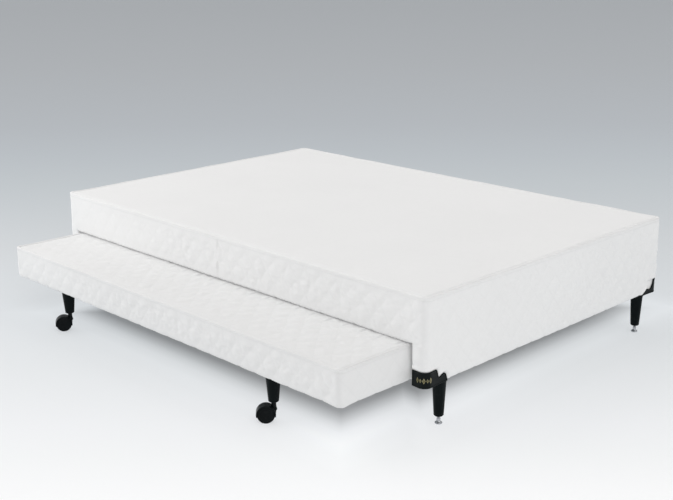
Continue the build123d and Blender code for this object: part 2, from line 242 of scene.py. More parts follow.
def graded(z0, z1, step, breaks=(), fine=(0.0012, 0.003, 0.0058, 0.0095)):
    """Rows from z0 to z1, closer together near the ends and the breaks."""
    marks = sorted([z0, z1, *breaks])
    rows = set()
    for a, b in zip(marks[:-1], marks[1:]):
        seg = {a, b}
        f = [x for x in fine if x < (b - a) / 2.5]
        for x in f:
            seg |= {a + x, b - x}
        lo, hi = a + (f[-1] if f else 0), b - (f[-1] if f else 0)
        n = max(1, math.ceil((hi - lo) / step))
        seg |= {lo + (hi - lo) * i / n for i in range(n + 1)}
        rows |= {round(x, 7) for x in seg}
    return np.array(sorted(rows))


# ---------------------------------------------------------------- quilting
# One diamond of the quilting is a patch of cloth sewn down along its four sides.
# A sheet of such diamonds is simulated once: the stitch lines are pinned, the
# cloth between them is cut a little larger, and the filling presses it out.
QN = 20           # cells along a diamond's side
QM = 4                             # diamonds along the sheet's side
PITCH_U, PITCH_V = 0.0725, 0.0840


def simulate_quilt():
    n = QN * QM + 1
    ab = np.linspace(0, QM, n)
    a, b = np.meshgrid(ab, ab, indexing="ij")
    x, y = PITCH_U * (a + b) / 2, PITCH_V * (a - b) / 2
    rest = np.stack([x, y, 0 * x], -1).reshape(-1, 3)
    on = (np.abs(a - np.round(a)) < 1e-6) | (np.abs(b - np.round(b)) < 1e-6)
    # a little uneven to start with, so that it wrinkles as cloth does
    fa, fb = a - np.floor(a), b - np.floor(b)
    lift = 0.0016 * np.sin(np.pi * fa) * np.sin(np.pi * fb)
    bump = 0.0008 * fnoise(x * 95, y * 95, 0, 5) * (~on)
    start = rest.copy()
    start[:, 2] += (lift + bump).ravel()
    faces = [(i * n + j, (i + 1) * n + j, (i + 1) * n + j + 1, i * n + j + 1)
             for i in range(n - 1) for j in range(n - 1)]
    ob = make_object("quilt_sheet", start, faces)
    # normals point up, so pressure pushes up
    if ob.data.polygons[0].normal.z < 0:
        ob.data.flip_normals()
    group = ob.vertex_groups.new(name="pin")
    group.add([int(i) for i in np.nonzero(on.ravel())[0]], 1.0, "REPLACE")
    mod = ob.modifiers.new("cloth", "CLOTH")
    s = mod.settings
    s.quality = 6
    s.mass = 0.12
    s.tension_stiffness = s.compression_stiffness = 18
    s.shear_stiffness = 8
    s.bending_stiffness = 0.06
    s.tension_damping = s.compression_damping = s.shear_damping = 8
    s.vertex_group_mass = "pin"
    s.pin_stiffness = 1.0
    s.shrink_min = -0.055
    s.use_pressure = True
    s.uniform_pressure_force = 2.2
    s.effector_weights.gravity = 0.0
    mod.collision_settings.use_collision = False
    mod.collision_settings.use_self_collision = False
    frames = 26
    mod.point_cache.frame_start, mod.point_cache.frame_end = 1, frames
    scene = bpy.context.scene
    for f in range(1, frames + 1):
        scene.frame_set(f)
    dg = bpy.context.evaluated_depsgraph_get()
    me = ob.evaluated_get(dg).data
    got = np.zeros(len(me.vertices) * 3, np.float32)
    me.vertices.foreach_get("co", got)
    scene.frame_set(1)
    bpy.data.objects.remove(ob)
    d = (got.reshape(-1, 3).astype(float) - rest).reshape(n, n, 3)
    cells = []
    for i in range(QM):
        for j in range(QM):
            c = d[i * QN:(i + 1) * QN + 1, j * QN:(j + 1) * QN + 1].copy()
            cells.append(c)
    cells = np.array(cells)                       # diamond, a, b, (du, dv, dn)
    top = np.percentile(cells[..., 2], 99)
    return cells / max(top, 1e-6)


QUILT = simulate_quilt()


def quilt(u, v, seed=0, flip=False):
    """Displacement (du, dv, dn) of the quilted cloth at (u, v), for puffs of height 1."""
    u, v = np.asarray(u, float), np.asarray(v, float)
    # sewing wanders by a millimetre or two
    uu = u + 0.0016 * vnoise(u * 9, v * 9, 1.3, seed + 3)
    vv = v + 0.0016 * vnoise(u * 9, v * 9, 7.7, seed + 4)
    a, b = uu / PITCH_U + vv / PITCH_V, uu / PITCH_U - vv / PITCH_V
    ia, ib = np.floor(a), np.floor(b)
    fa, fb = a - ia, b - ib
    pick = ((_hash(ia, ib, ia * 0, seed) + 1) * 0.5 * len(QUILT)).astype(int) % len(QUILT)
    turn = ((_hash(ia, ib, ia * 0 + 1, seed) + 1) * 2).astype(int) % 4
    swap, anti = (turn & 1) == 1, (turn & 2) == 2
    ga, gb = np.where(swap, fb, fa), np.where(swap, fa, fb)
    ga, gb = np.where(anti, 1 - gb, ga), np.where(anti, 1 - ga, gb)
    x, y = np.clip(ga, 0, 1) * QN, np.clip(gb, 0, 1) * QN
    i, j = np.minimum(x.astype(int), QN - 1), np.minimum(y.astype(int), QN - 1)
    tx, ty = (x - i)[..., None], (y - j)[..., None]
    c = QUILT
    d = (c[pick, i, j] * (1 - tx) * (1 - ty) + c[pick, i + 1, j] * tx * (1 - ty)
         + c[pick, i, j + 1] * (1 - tx) * ty + c[pick, i + 1, j + 1] * tx * ty)
    du, dv, dn = d[..., 0], d[..., 1], d[..., 2]
    dv = np.where(swap, -dv, dv)
    du = np.where(anti, -du, du)
    size = 1 + 0.16 * _hash(ia, ib, ia * 0 + 2, seed)
    return du * size, dv * size, dn * size, a, b


# ---------------------------------------------------------------- corner guards, as regions of the border
FRONT_WING = [(-.02, .10), (.101, .10), (.101, .142), (.0998, .146), (.0962, .158), (.0935, .1645), (.0890, .1685), (.084, .1695), (.078, .1675),
              (.070, .1635), (.064, .1615), (.059, .166), (.053, .187), (.049, .190), (-.02, .190)]
REAR_WING = [(-.02, .10), (.084, .10), (.084, .142), (.081, .146), (.066, .159), (.058, .1605), (.044, .157),
             (.036, .158), (.017, .188), (.012, .190), (-.02, .190)]


def polygon_distance(px, pz, poly):
    """Signed distance to a polygon, negative inside."""
    px, pz = np.asarray(px, float), np.asarray(pz, float)
    best = np.full(px.shape, 1e9)
    inside = np.zeros(px.shape, bool)
    n = len(poly)
    for i in range(n):
        (x0, y0), (x1, y1) = poly[i], poly[(i + 1) % n]
        ex, ey = x1 - x0, y1 - y0
        t = np.clip(((px - x0) * ex + (pz - y0) * ey) / (ex * ex + ey * ey), 0, 1)
        best = np.minimum(best, np.hypot(px - x0 - t * ex, pz - y0 - t * ey))
        cross = ((y0 > pz) != (y1 > pz)) & (px < (x1 - x0) * (pz - y0) / (y1 - y0 + 1e-12) + x0)
        inside ^= cross
    return np.where(inside, -best, best)


def guard_distance(x, y, z):
    """Distance on the border to the nearest corner guard, negative under it."""
    ax = np.abs(x)
    f = polygon_distance(y - BY0, z, FRONT_WING)
    f = np.maximum(f, OPEN_X - 0.002 - ax)
    r = polygon_distance(BY1 - y, z, REAR_WING)
    r = np.maximum(r, 0.80 - ax)
    s = polygon_distance(BX1 - ax, z, REAR_WING)
    s = np.maximum(s, BY1 - 0.06 - y)
    return np.minimum(f, np.minimum(r, s))


# ---------------------------------------------------------------- fabric band round a box
def fabric_band(name, outline, z0, z1, step, puff, seed, opening=None, guards=False, thick=0.0078, bulge=0.002, gather=1.0, sharp=0.0):
    """The quilted border: a closed shell whose outer side is quilted and whose edges roll under."""
    extra = []
    if opening:
        ox, oz = opening
        # arc length of the opening's two upright edges
        over = ox - (outline.segs[0][2][0])
        base = outline.start[1]
        ur = base + outline.r * math.asin(over / outline.r) if over > 0 else ox
        ul = outline.total - ur
        for k in (0.0, 0.0014, 0.0034, 0.0064, 0.0100):
            extra += [ur + k, ul - k]
        for k in (0.0014, 0.0034, 0.0064, 0.0100):
            extra += [ur - k, ul + k]
    us = outline.lines(step, min(step, 0.0042), extra)
    zs = graded(z0, z1, step, (opening[1],) if opening else ())
    n, m = len(us), len(zs)
    U, Z = np.meshgrid(us, zs, indexing="ij")
    pos, nrm = outline.at(U)
    # distance from each edge that is sewn or rolled under
    h_low, h_top = Z - z0, z1 - Z
    if opening:
        on_front = (np.abs(pos[..., 0]) < ox + 0.04) & (pos[..., 1] < BY0 + 0.03)
        ex, ez = np.maximum(np.abs(pos[..., 0]) - ox, 0), np.maximum(Z - oz, 0)
        d_open = np.where(on_front, np.hypot(ex, ez), 1.0)
        h_low = np.minimum(h_low, d_open)
    du, dv, dn, qa, qb = quilt(U, Z - z0, seed)
    edge = np.minimum(h_low, h_top)
    # puffs flatten towards the seams
    puffy = puff * (0.12 + 0.88 * smooth(0.0, 0.030, h_top)) * (0.25 + 0.75 * smooth(0.0, 0.026, h_low))
    # the quilting lies flatter at the left-hand end of the front and on the trundle's ends
    left = smooth(0.10, 0.60, -pos[..., 0])
    if opening:
        puffy = puffy * (1 - 0.72 * left) * (1 - 0.35 * smooth(BX1 - 0.03, BX1 - 0.01, pos[..., 0]) * smooth(BY0 + 0.75, BY0 + 0.35, pos[..., 1]))
    else:
        puffy = puffy * (1 - 0.45 * left) * (1 - 0.60 * smooth(TX1 - 0.03, TX1 - 0.01, pos[..., 0]))
    inset = 0.0012 * smooth(0.0, 0.03, h_top) - dn * puffy
    corner = outline.flare(U)
    inset -= FLARE * corner * (1 + 0.5 * smooth(0.04, 0.0, h_low) * sharp)
    # the border bellies out a little between its seams
    inset -= bulge * np.sin(np.pi * np.clip((Z - z0) / (z1 - z0), 0, 1))
    # gathers where the quilting meets the lower hem and the tape
    cu = U / PITCH_U
    tick_lo = np.abs(cu + (z0 - z0) / PITCH_V - np.round(cu)) * PITCH_U
    wob = 0.5 + 0.5 * vnoise(U * 14, 0.3, 0, seed + 9)
    inset += gather * 0.0022 * np.exp(-(tick_lo / 0.0045) ** 2) * np.exp(-h_low / 0.016) * (0.5 + wob)
    tick_hi = np.abs((cu + 0.5 * ((z1 - z0) / PITCH_V)) % 0.5 - 0.25) * PITCH_U
    inset += gather * 0.0010 * np.exp(-((0.25 * PITCH_U - tick_hi) / 0.004) ** 2) * np.exp(-h_top / 0.014)
    # slack cloth: long soft waves, and finer creases
    inset -= 0.0011 * vnoise(U * 5.1, Z * 7.3, 0, seed + 21) + 0.0005 * fnoise(U * 37, Z * 29, 0, seed + 22)
    # rolled edges
    for h, w, dpt in ((h_low, 0.010, 0.0034), (h_top, 0.003, 0.0006)):
        t = np.clip(1 - h / w, 0, 1)
        inset += dpt * (1 - np.sqrt(1 - 0.999 * t * t))
    if guards:
        g = guard_distance(pos[..., 0], pos[..., 1], Z)
        press = smooth(0.009, -0.001, g)
        inset = inset * (1 - press) + (0.0052 - FLARE * corner) * press
        inset -= 0.0030 * np.exp(-((g - 0.0085) / 0.006) ** 2)
    side = np.stack([-nrm[..., 1], nrm[..., 0]], -1)      # direction of increasing arc length
    keep = smooth(0.0, 0.02, edge)
    P = np.zeros((n, m, 3))
    P[..., :2] = pos - nrm * inset[..., None] + side * (du * puffy * keep * 0.8)[..., None]
    P[..., 2] = Z + dv * puffy * keep * 0.8
    if opening:
        sag = smooth(0.0, 0.02, ox - np.abs(pos[..., 0])) * on_front * smooth(0.030, 0.0, np.abs(Z - oz))
        P[..., 2] -= 0.0026 * sag * (1 + 0.25 * vnoise(U * 13, 2.2, 0, seed + 31))
    if opening:
        iR, iL = int(np.abs(us - ur).argmin()), int(np.abs(us - ul).argmin())
        J = int(np.abs(zs - oz).argmin())
        # the upright edges stay straight
        P[iR, :J + 1, 0], P[iL, :J + 1, 0] = ox + 0.0004, -ox - 0.0004
    else:
        iR = iL = J = None

    def low_row(i):
        """First row of column i: the hem of the border, or of the header over the opening."""
        if opening and (i < iR or i > iL):
            return J
        return 0

    verts, index, source = [], {}, []

    def vid(key, p):
        if key not in index:
            index[key] = len(verts)
            verts.append(p)
            source.append(key[1:3])
        return index[key]

    faces = []
    for i in range(n):
        k = (i + 1) % n
        header = opening and (i < iR or i >= iL)
        for j in range(J if header else 0, m - 1):
            faces.append((vid(("o", i, j), P[i, j]), vid(("o", k, j), P[k, j]),
                          vid(("o", k, j + 1), P[k, j + 1]), vid(("o", i, j + 1), P[i, j + 1])))
    depth = (0.0052, 0.0066, thick)

    def hem(i, j, d):
        p, q = outline.at(np.array([us[i]]), 0.0)
        z = P[i, j, 2] + (0.0 if j else 0.0)
        lift = FLARE * float(outline.flare(us[i]))
        x, y = p[0] - q[0] * (depth[d] - lift)
        if opening and i in (iR, iL) and j <= J:
            x = (ox + 0.0004) * (1 if i == iR else -1)
        return vid(("h", i, j, d), (x, y, z))

    def strip(i, j, k, l):
        """Rolls the edge from (i, j) to (k, l) under, in three steps."""
        a, b = index[("o", i, j)], index[("o", k, l)]
        for d in range(3):
            c, e = hem(k, l, d), hem(i, j, d)
            faces.append((a, e, c, b))
            a, b = e, c

    for i in range(n):
        k = (i + 1) % n
        header = opening and (i < iR or i >= iL)
        j = J if header else 0
        strip(i, j, k, j)                                  # lower hem
        strip(k, m - 1, i, m - 1)                          # top, under the tape
    if opening:
        for j in range(J):
            strip(iR, j + 1, iR, j)
            strip(iL, j, iL, j + 1)
    for i in range(n):                                     # back of the shell
        k = (i + 1) % n
        header = opening and (i < iR or i >= iL)
        j = J if header else 0
        ring = [hem(i, m - 1, 2), hem(k, m - 1, 2)]
        right = [hem(k, j, 2)]
        left = [hem(i, j, 2)]
        if opening and i == iR:
            left = [hem(i, q, 2) for q in range(0, J + 1)]
        if opening and k == iL:
            right = [hem(k, q, 2) for q in range(J, -1, -1)]
        face = ring + right + left
        faces.append(tuple(face))
    ob = make_object(name, verts, faces)
    si, sj = np.array(source).T
    # painted shade: the border is painted greyer along its hem, its top edge and the edges of the opening
    painted_shade = np.clip(np.exp(-edge / 0.0035) * 0.8, 0, 1)
    cloth_maps(ob, np.stack([U[si, sj], Z[si, sj]], 1), painted_shade[si, sj],
               np.stack([qa[si, sj], qb[si, sj]], 1), outline.total)
    return ob


# ---------------------------------------------------------------- pads
def edge_grid(half, r, step, fine):
    """Grid lines from -half to half, close together near the ends."""
    marks = [half - f for f in fine if f < r] + [half - r]
    inner = half - r
    n = max(2, math.ceil(2 * inner / step))
    mid = np.linspace(-inner, inner, n + 1)
    return np.unique(np.round(np.concatenate([mid, marks, [-x for x in marks]]), 7))


def pad(name, x0, x1, y0, y1, r, step, height, z_low, maps=None, fine=(0, .0012, .003, .0055, .009, .013, .018, .024), extra_shade=None):
    """A closed pad on a rounded outline. height(x, y, edge distance) gives (dx, dy, z) of the top."""
    cx, cy, hx, hy = (x0 + x1) / 2, (y0 + y1) / 2, (x1 - x0) / 2, (y1 - y0) / 2
    gx, gy = edge_grid(hx, r, step, fine), edge_grid(hy, r, step, fine)
    X, Y = np.meshgrid(gx, gy, indexing="ij")
    # the squares at the four corners become quarter discs
    ax, ay = np.abs(X) - (hx - r), np.abs(Y) - (hy - r)
    corner = (ax > 0) & (ay > 0)
    xi, et = np.where(corner, ax / r, 0), np.where(corner, ay / r, 0)
    big = np.maximum(xi, et)
    th = np.where(xi >= et, math.pi / 4 * et / np.maximum(xi, 1e-9), math.pi / 2 - math.pi / 4 * xi / np.maximum(et, 1e-9))
    Xc = np.where(corner, np.sign(X) * (hx - r + r * big * np.cos(th)), X)
    Yc = np.where(corner, np.sign(Y) * (hy - r + r * big * np.sin(th)), Y)
    dist = np.where(corner, r * (1 - big), np.minimum(hx - np.abs(Xc), hy - np.abs(Yc)))
    k = 0.3 * r
    near = np.hypot(hx - k - np.abs(Xc), hy - k - np.abs(Yc))
    ear = np.exp(-(near / 0.038) ** 2)
    dx, dy, zt = height(Xc + cx, Yc + cy, dist)
    Xc, Yc = Xc + np.sign(Xc) * 0.71 * FLARE * ear, Yc + np.sign(Yc) * 0.71 * FLARE * ear
    zt = zt + 0.0012 * ear
    n, m = X.shape
    P = np.stack([Xc + cx + dx, Yc + cy + dy, zt], -1)
    verts = list(P.reshape(-1, 3))
    faces = [(i * m + j, (i + 1) * m + j, (i + 1) * m + j + 1, i * m + j + 1) for i in range(n - 1) for j in range(m - 1)]
    loop = ([(i, 0) for i in range(n)] + [(n - 1, j) for j in range(1, m)]
            + [(i, m - 1) for i in range(n - 2, -1, -1)] + [(0, j) for j in range(m - 2, 0, -1)])
    top = [i * m + j for i, j in loop]
    low = []
    for i, j in loop:
        low.append(len(verts))
        verts.append((Xc[i, j] + cx, Yc[i, j] + cy, z_low))
    k = len(loop)
    for q in range(k):
        w = (q + 1) % k
        faces.append((top[w], top[q], low[q], low[w]))
    faces.append(tuple(reversed(low)))
    ob = make_object(name, verts, faces)
    uv = np.stack([Xc + cx, Yc + cy], -1).reshape(-1, 2)
    # painted shade along the pad's rolled edge, and in its creases
    painted_shade = np.exp(-dist / 0.0030)
    if extra_shade:
        painted_shade = np.maximum(painted_shade, extra_shade(Xc + cx, Yc + cy))
    painted_shade = painted_shade.ravel()
    pick = np.array(list(range(len(uv))) + top)
    ab = None if maps is None else np.stack(maps(Xc + cx, Yc + cy), -1).reshape(-1, 2)[pick]
    return cloth_maps(ob, uv[pick], painted_shade[pick], ab)


def tube_ring(name, outline, inset, z, rx, rz, step, seed, sides=14, wobble=0.0004, lobes=0.0):
    """Rolled edge tape: a soft round section swept round the outline."""
    us = outline.lines(step, 0.003)
    n = len(us)
    verts, faces = [], []
    corner = outline.flare(us)
    pos, nrm = outline.at(us, inset - FLARE * corner)
    lift = wobble * vnoise(us * 11, 0.2, 0, seed) + 0.0012 * corner
    fat = 1 + 0.05 * vnoise(us * 23, 3.1, 0, seed + 1) - lobes * np.abs(np.cos(us / PITCH_U * math.pi)) ** 12
    for s in range(sides):
        t = 2 * math.pi * s / sides
        # a slightly squared section
        c, d = math.cos(t), math.sin(t)
        k = (abs(c) ** 2.6 + abs(d) ** 2.6) ** (-1 / 2.6)
        ox, oz = c * k * rx, d * k * rz
        if d < 0 and c > 0:
            ox = rx * (1 - 0.10 * (-d) ** 3)
        verts.append(np.stack([pos[:, 0] + nrm[:, 0] * ox * fat, pos[:, 1] + nrm[:, 1] * ox * fat, z + lift + oz * fat], 1))
    V = np.stack(verts, 1).reshape(-1, 3)
    for i in range(n):
        k = (i + 1) % n
        for s in range(sides):
            w = (s + 1) % sides
            faces.append((i * sides + s, k * sides + s, k * sides + w, i * sides + w))
    ob = make_object(name, V, faces)
    girth = math.pi * (rx + rz)
    uv = np.stack([np.repeat(us, sides), np.tile(np.arange(sides) / sides * girth, n)], 1)
    t = np.tile(np.arange(sides) / sides * 2 * np.pi, n)
    # painted shade on the tape's inner side, towards the bed
    painted_shade = 0.9 * smooth(0.45, 1.0, -np.cos(t))
    return cloth_maps(ob, uv, painted_shade, None, outline.total)


# ---------------------------------------------------------------- materials
class Mat:
    """A small helper round a node tree."""

    def __init__(self, name, **values):
        self.mat = bpy.data.materials.new(name)
        self.mat.use_nodes = True
        self.t = self.mat.node_tree
        self.t.nodes.clear()
        self.out = self.t.nodes.new("ShaderNodeOutputMaterial")
        self.b = self.t.nodes.new("ShaderNodeBsdfPrincipled")
        self.link(self.b.outputs[0], self.out.inputs[0])
        for k, v in values.items():
            self.b.inputs[k.replace("_", " ")].default_value = v

    def link(self, a, b):
        self.t.links.new(a, b)

    def put(self, node, key, value):
        if value is None:
            return
        if isinstance(value, bpy.types.NodeSocket):
            self.link(value, node.inputs[key])
        else:
            node.inputs[key].default_value = value

    def math(self, op, a, b=None, c=None, clamp=False):
        n = self.t.nodes.new("ShaderNodeMath")
        n.operation = op
        n.use_clamp = clamp
        self.put(n, 0, a)
        self.put(n, 1, b)
        self.put(n, 2, c)
        return n.outputs[0]

    def coords(self, scale=(1, 1, 1), kind="Object", rot=(0, 0, 0)):
        tc = self.t.nodes.new("ShaderNodeTexCoord")
        mp = self.t.nodes.new("ShaderNodeMapping")
        mp.inputs["Scale"].default_value = scale
        mp.inputs["Rotation"].default_value = rot
        self.link(tc.outputs[kind], mp.inputs["Vector"])
        return mp.outputs[0]

    def uv(self, name):
        n = self.t.nodes.new("ShaderNodeUVMap")
        n.uv_map = name
        s = self.t.nodes.new("ShaderNodeSeparateXYZ")
        self.link(n.outputs[0], s.inputs[0])
        return s.outputs[0], s.outputs[1]

    def attr(self, name):
        n = self.t.nodes.new("ShaderNodeAttribute")
        n.attribute_name = name
        return n.outputs["Fac"]

    def noise(self, scale, detail=3.0, rough=0.55, vector=None, distortion=0.0):
        n = self.t.nodes.new("ShaderNodeTexNoise")
        n.inputs["Scale"].default_value = scale
        n.inputs["Detail"].default_value = detail
        n.inputs["Roughness"].default_value = rough
        n.inputs["Distortion"].default_value = distortion
        self.link(vector if vector is not None else self.coords(), n.inputs["Vector"])
        return n.outputs["Fac"]

    def voronoi(self, scale, vector=None, feature="F1"):
        n = self.t.nodes.new("ShaderNodeTexVoronoi")
        n.feature = feature
        n.inputs["Scale"].default_value = scale
        self.link(vector if vector is not None else self.coords(), n.inputs["Vector"])
        return n.outputs["Distance"]

    def spread(self, v, a, b, c, d):
        """Maps v from a..b to c..d, clamped."""
        n = self.t.nodes.new("ShaderNodeMapRange")
        self.put(n, "Value", v)
        for k, x in zip(("From Min", "From Max", "To Min", "To Max"), (a, b, c, d)):
            n.inputs[k].default_value = x
        return n.outputs["Result"]

    def mix(self, fac, a, b, kind="MIX"):
        n = self.t.nodes.new("ShaderNodeMix")
        n.data_type = "RGBA"
        n.blend_type = kind
        self.put(n, 0, fac)
        for k, v in ((6, a), (7, b)):
            if isinstance(v, (tuple, list)) and len(v) == 3:
                v = (*v, 1.0)
            self.put(n, k, v)
        return n.outputs[2]

    def bump(self, height, strength, distance, normal=None):
        n = self.t.nodes.new("ShaderNodeBump")
        n.inputs["Strength"].default_value = strength
        n.inputs["Distance"].default_value = distance
        self.link(height, n.inputs["Height"])
        if normal is not None:
            self.link(normal, n.inputs["Normal"])
        return n.outputs[0]

    def set(self, key, value):
        if isinstance(value, (tuple, list)) and len(value) == 3:
            value = (*value, 1.0)
        self.put(self.b, key, value)
        return self


def knit(m, wale=0.00150, course=0.00115):
    """Height of a fine knitted cloth, from the uv map in metres."""
    u, v = m.uv("uv")
    a = m.math("DIVIDE", u, wale)
    tri = m.math("ABSOLUTE", m.math("SUBTRACT", m.math("FRACT", a), 0.5))
    rib = m.math("ABSOLUTE", m.math("SINE", m.math("MULTIPLY", a, math.pi)))
    c = m.math("ADD", m.math("DIVIDE", v, course), m.math("MULTIPLY", tri, 0.9))
    loops = m.math("MULTIPLY_ADD", m.math("SINE", m.math("MULTIPLY", c, 2 * math.pi)), 0.5, 0.5)
    return m.math("MULTIPLY", m.math("POWER", rib, 0.6), m.math("MULTIPLY_ADD", loops, 0.55, 0.45))


def fabric(name, base, shade_colour, stitched, weave=0.28, rough=0.88):
    m = Mat(name, Roughness=rough, Sheen_Weight=0.22, Sheen_Roughness=0.55, Specular_IOR_Level=0.22)
    fuzz = m.noise(900.0, 2.0)
    cloud = m.noise(2.3, 4.0)
    slub = m.noise(1.0, 3.0, vector=m.coords((55, 55, 420)))
    col = m.mix(m.spread(cloud, 0.35, 0.65, 0.0, 1.0), tuple(x * 0.982 for x in base), base)
    col = m.mix(m.spread(slub, 0.42, 0.62, 0.0, 0.20), col, tuple(x * 0.955 for x in base))
    k = knit(m)
    # painted shade in the knit's hollows
    col = m.mix(m.spread(k, 0.0, 0.45, 0.20, 0.0), col, tuple(x * 0.86 for x in base))
    # painted shade: the rolled edges, seams and creases are painted greyer, where shade falls
    painted_shade = m.attr("painted_shade")
    col = m.mix(m.math("MULTIPLY", painted_shade, 0.30), col, shade_colour)
    rg = m.spread(fuzz, 0.3, 0.7, rough - 0.06, min(1.0, rough + 0.07))
    if stitched:
        a, b = m.uv("quilt")
        span = PITCH_U * PITCH_V / math.hypot(PITCH_U, PITCH_V)
        side = math.hypot(PITCH_U, PITCH_V) / 2
        thread = None
        for p, q in ((a, b), (b, a)):
            near = m.math("ABSOLUTE", m.math("SUBTRACT", p, m.math("ROUND", p)))
            across = m.spread(near, 0.00035 / span, 0.0008 / span, 1.0, 0.0)
            dash = m.math("FRACT", m.math("MULTIPLY", q, round(side / 0.0042)))
            along = m.math("MULTIPLY", m.spread(dash, 0.10, 0.20, 0.0, 1.0), m.spread(dash, 0.74, 0.84, 1.0, 0.0))
            one = m.math("MULTIPLY", across, along)
            thread = one if thread is None else m.math("MAXIMUM", thread, one)
            fold = m.spread(near, 0.0, 0.0022 / span, 1.0, 0.0)
            groove = fold if thread is one else m.math("MAXIMUM", groove, fold)
        # painted shade in the grooves along the stitch lines
        col = m.mix(m.math("MULTIPLY", groove, 0.09), col, shade_colour)
        col = m.mix(m.math("MULTIPLY", thread, 0.5), col, tuple(min(1.0, x * 1.02) for x in base))
        n = m.bump(m.math("SUBTRACT", m.math("MULTIPLY", thread, 0.8), groove), 0.32, 0.0006)
    else:
        n = None
    n = m.bump(k, weave, 0.00022, n)
    n = m.bump(fuzz, 0.22, 0.0004, n)
    n = m.bump(m.noise(38.0, 3.0), 0.10, 0.004, n)
    m.set("Base Color", col).set("Roughness", rg).set("Normal", n)
    return m.mat


WHITE = (0.835, 0.842, 0.842)
PAINTED_SHADE_GREY = (0.60, 0.61, 0.62)
cover_mat = fabric("cover_knit", WHITE, PAINTED_SHADE_GREY, False, 0.22)
quilt_mat = fabric("quilted_knit", WHITE, PAINTED_SHADE_GREY, True, 0.24)
# painted shade: a darker copy of the quilted knit for the trundle, which sits lower and is lit less
trundle_quilt_shaded_mat = fabric("quilted_knit_trundle_shaded", tuple(c * 0.935 for c in WHITE), tuple(c * 0.90 for c in PAINTED_SHADE_GREY), True, 0.24)


def tape_material(name="edge_tape", shade=1.0):
    """Woven edge tape: fine ribs across its width and a row of stitches on it."""
    m = Mat(name, Roughness=0.7, Sheen_Weight=0.15, Specular_IOR_Level=0.3)
    u, v = m.uv("uv")
    rib = m.math("ABSOLUTE", m.math("SINE", m.math("MULTIPLY", u, math.pi / 0.0011)))
    twill = m.math("MULTIPLY_ADD", m.math("SINE", m.math("MULTIPLY", m.math("ADD", m.math("MULTIPLY", u, 0.6), v), 2 * math.pi / 0.0014)), 0.5, 0.5)
    dash = m.math("FRACT", m.math("DIVIDE", u, 0.0042))
    line = m.spread(m.math("ABSOLUTE", m.math("SUBTRACT", v, 0.0028)), 0.00035, 0.0008, 1.0, 0.0)
    line2 = m.spread(m.math("ABSOLUTE", m.math("SUBTRACT", v, 0.0125)), 0.00035, 0.0008, 1.0, 0.0)
    thread = m.math("MULTIPLY", m.math("MAXIMUM", line, line2), m.math("MULTIPLY", m.spread(dash, 0.1, 0.2, 0, 1), m.spread(dash, 0.72, 0.84, 1, 0)))
    cloud = m.noise(5.0, 3.0)
    # shade below 1 gives a darker copy, painted shade
    base = tuple(c * shade for c in (0.845, 0.85, 0.85))
    col = m.mix(m.spread(cloud, 0.35, 0.65, 0, 1), tuple(x * 0.97 for x in base), base)
    # painted shade in the grooves between the ribs
    col = m.mix(m.spread(rib, 0.0, 0.5, 0.22, 0.0), col, (0.66, 0.67, 0.68))
    # painted shade on the tape's inner side
    col = m.mix(m.math("MULTIPLY", m.attr("painted_shade"), 0.28), col, PAINTED_SHADE_GREY)
    col = m.mix(m.math("MULTIPLY", thread, 0.6), col, (0.87, 0.87, 0.865))
    n = m.bump(rib, 0.35, 0.0003)
    n = m.bump(twill, 0.2, 0.0002, n)
    n = m.bump(thread, 0.6, 0.0005, n)
    m.set("Base Color", col).set("Normal", n)
    return m.mat


tape_mat = tape_material()
# painted shade: a darker copy of the tape for the trundle
trundle_tape_shaded_mat = tape_material("edge_tape_trundle_shaded", 0.93)


def nonwoven(name, base):
    """Thin bonded cloth, as under a bed base: pressed dots and loose fibres."""
    m = Mat(name, Roughness=0.92, Sheen_Weight=0.1, Specular_IOR_Level=0.15)
    u, v = m.uv("uv")
    s = 2 * math.pi / 0.0024
    dots = m.math("MULTIPLY", m.math("SINE", m.math("MULTIPLY", u, s)), m.math("SINE", m.math("MULTIPLY", v, s)))
    fibre = m.noise(1.0, 4.0, vector=m.coords((300, 300, 60)), distortion=1.5)
    cloud = m.noise(6.0, 4.0)
    col = m.mix(m.spread(cloud, 0.3, 0.7, 0, 1), tuple(x * 0.86 for x in base), base)
    col = m.mix(m.spread(fibre, 0.45, 0.7, 0.0, 0.4), col, tuple(min(1, x * 1.12) for x in base))
    col = m.mix(m.spread(dots, 0.3, 0.8, 0.0, 0.35), col, tuple(x * 0.72 for x in base))
    n = m.bump(dots, 0.3, 0.0004)
    n = m.bump(fibre, 0.3, 0.0005, n)
    m.set("Base Color", col).set("Normal", n)
    return m.mat


lining_mat = nonwoven("nonwoven_lining", (0.66, 0.67, 0.68))


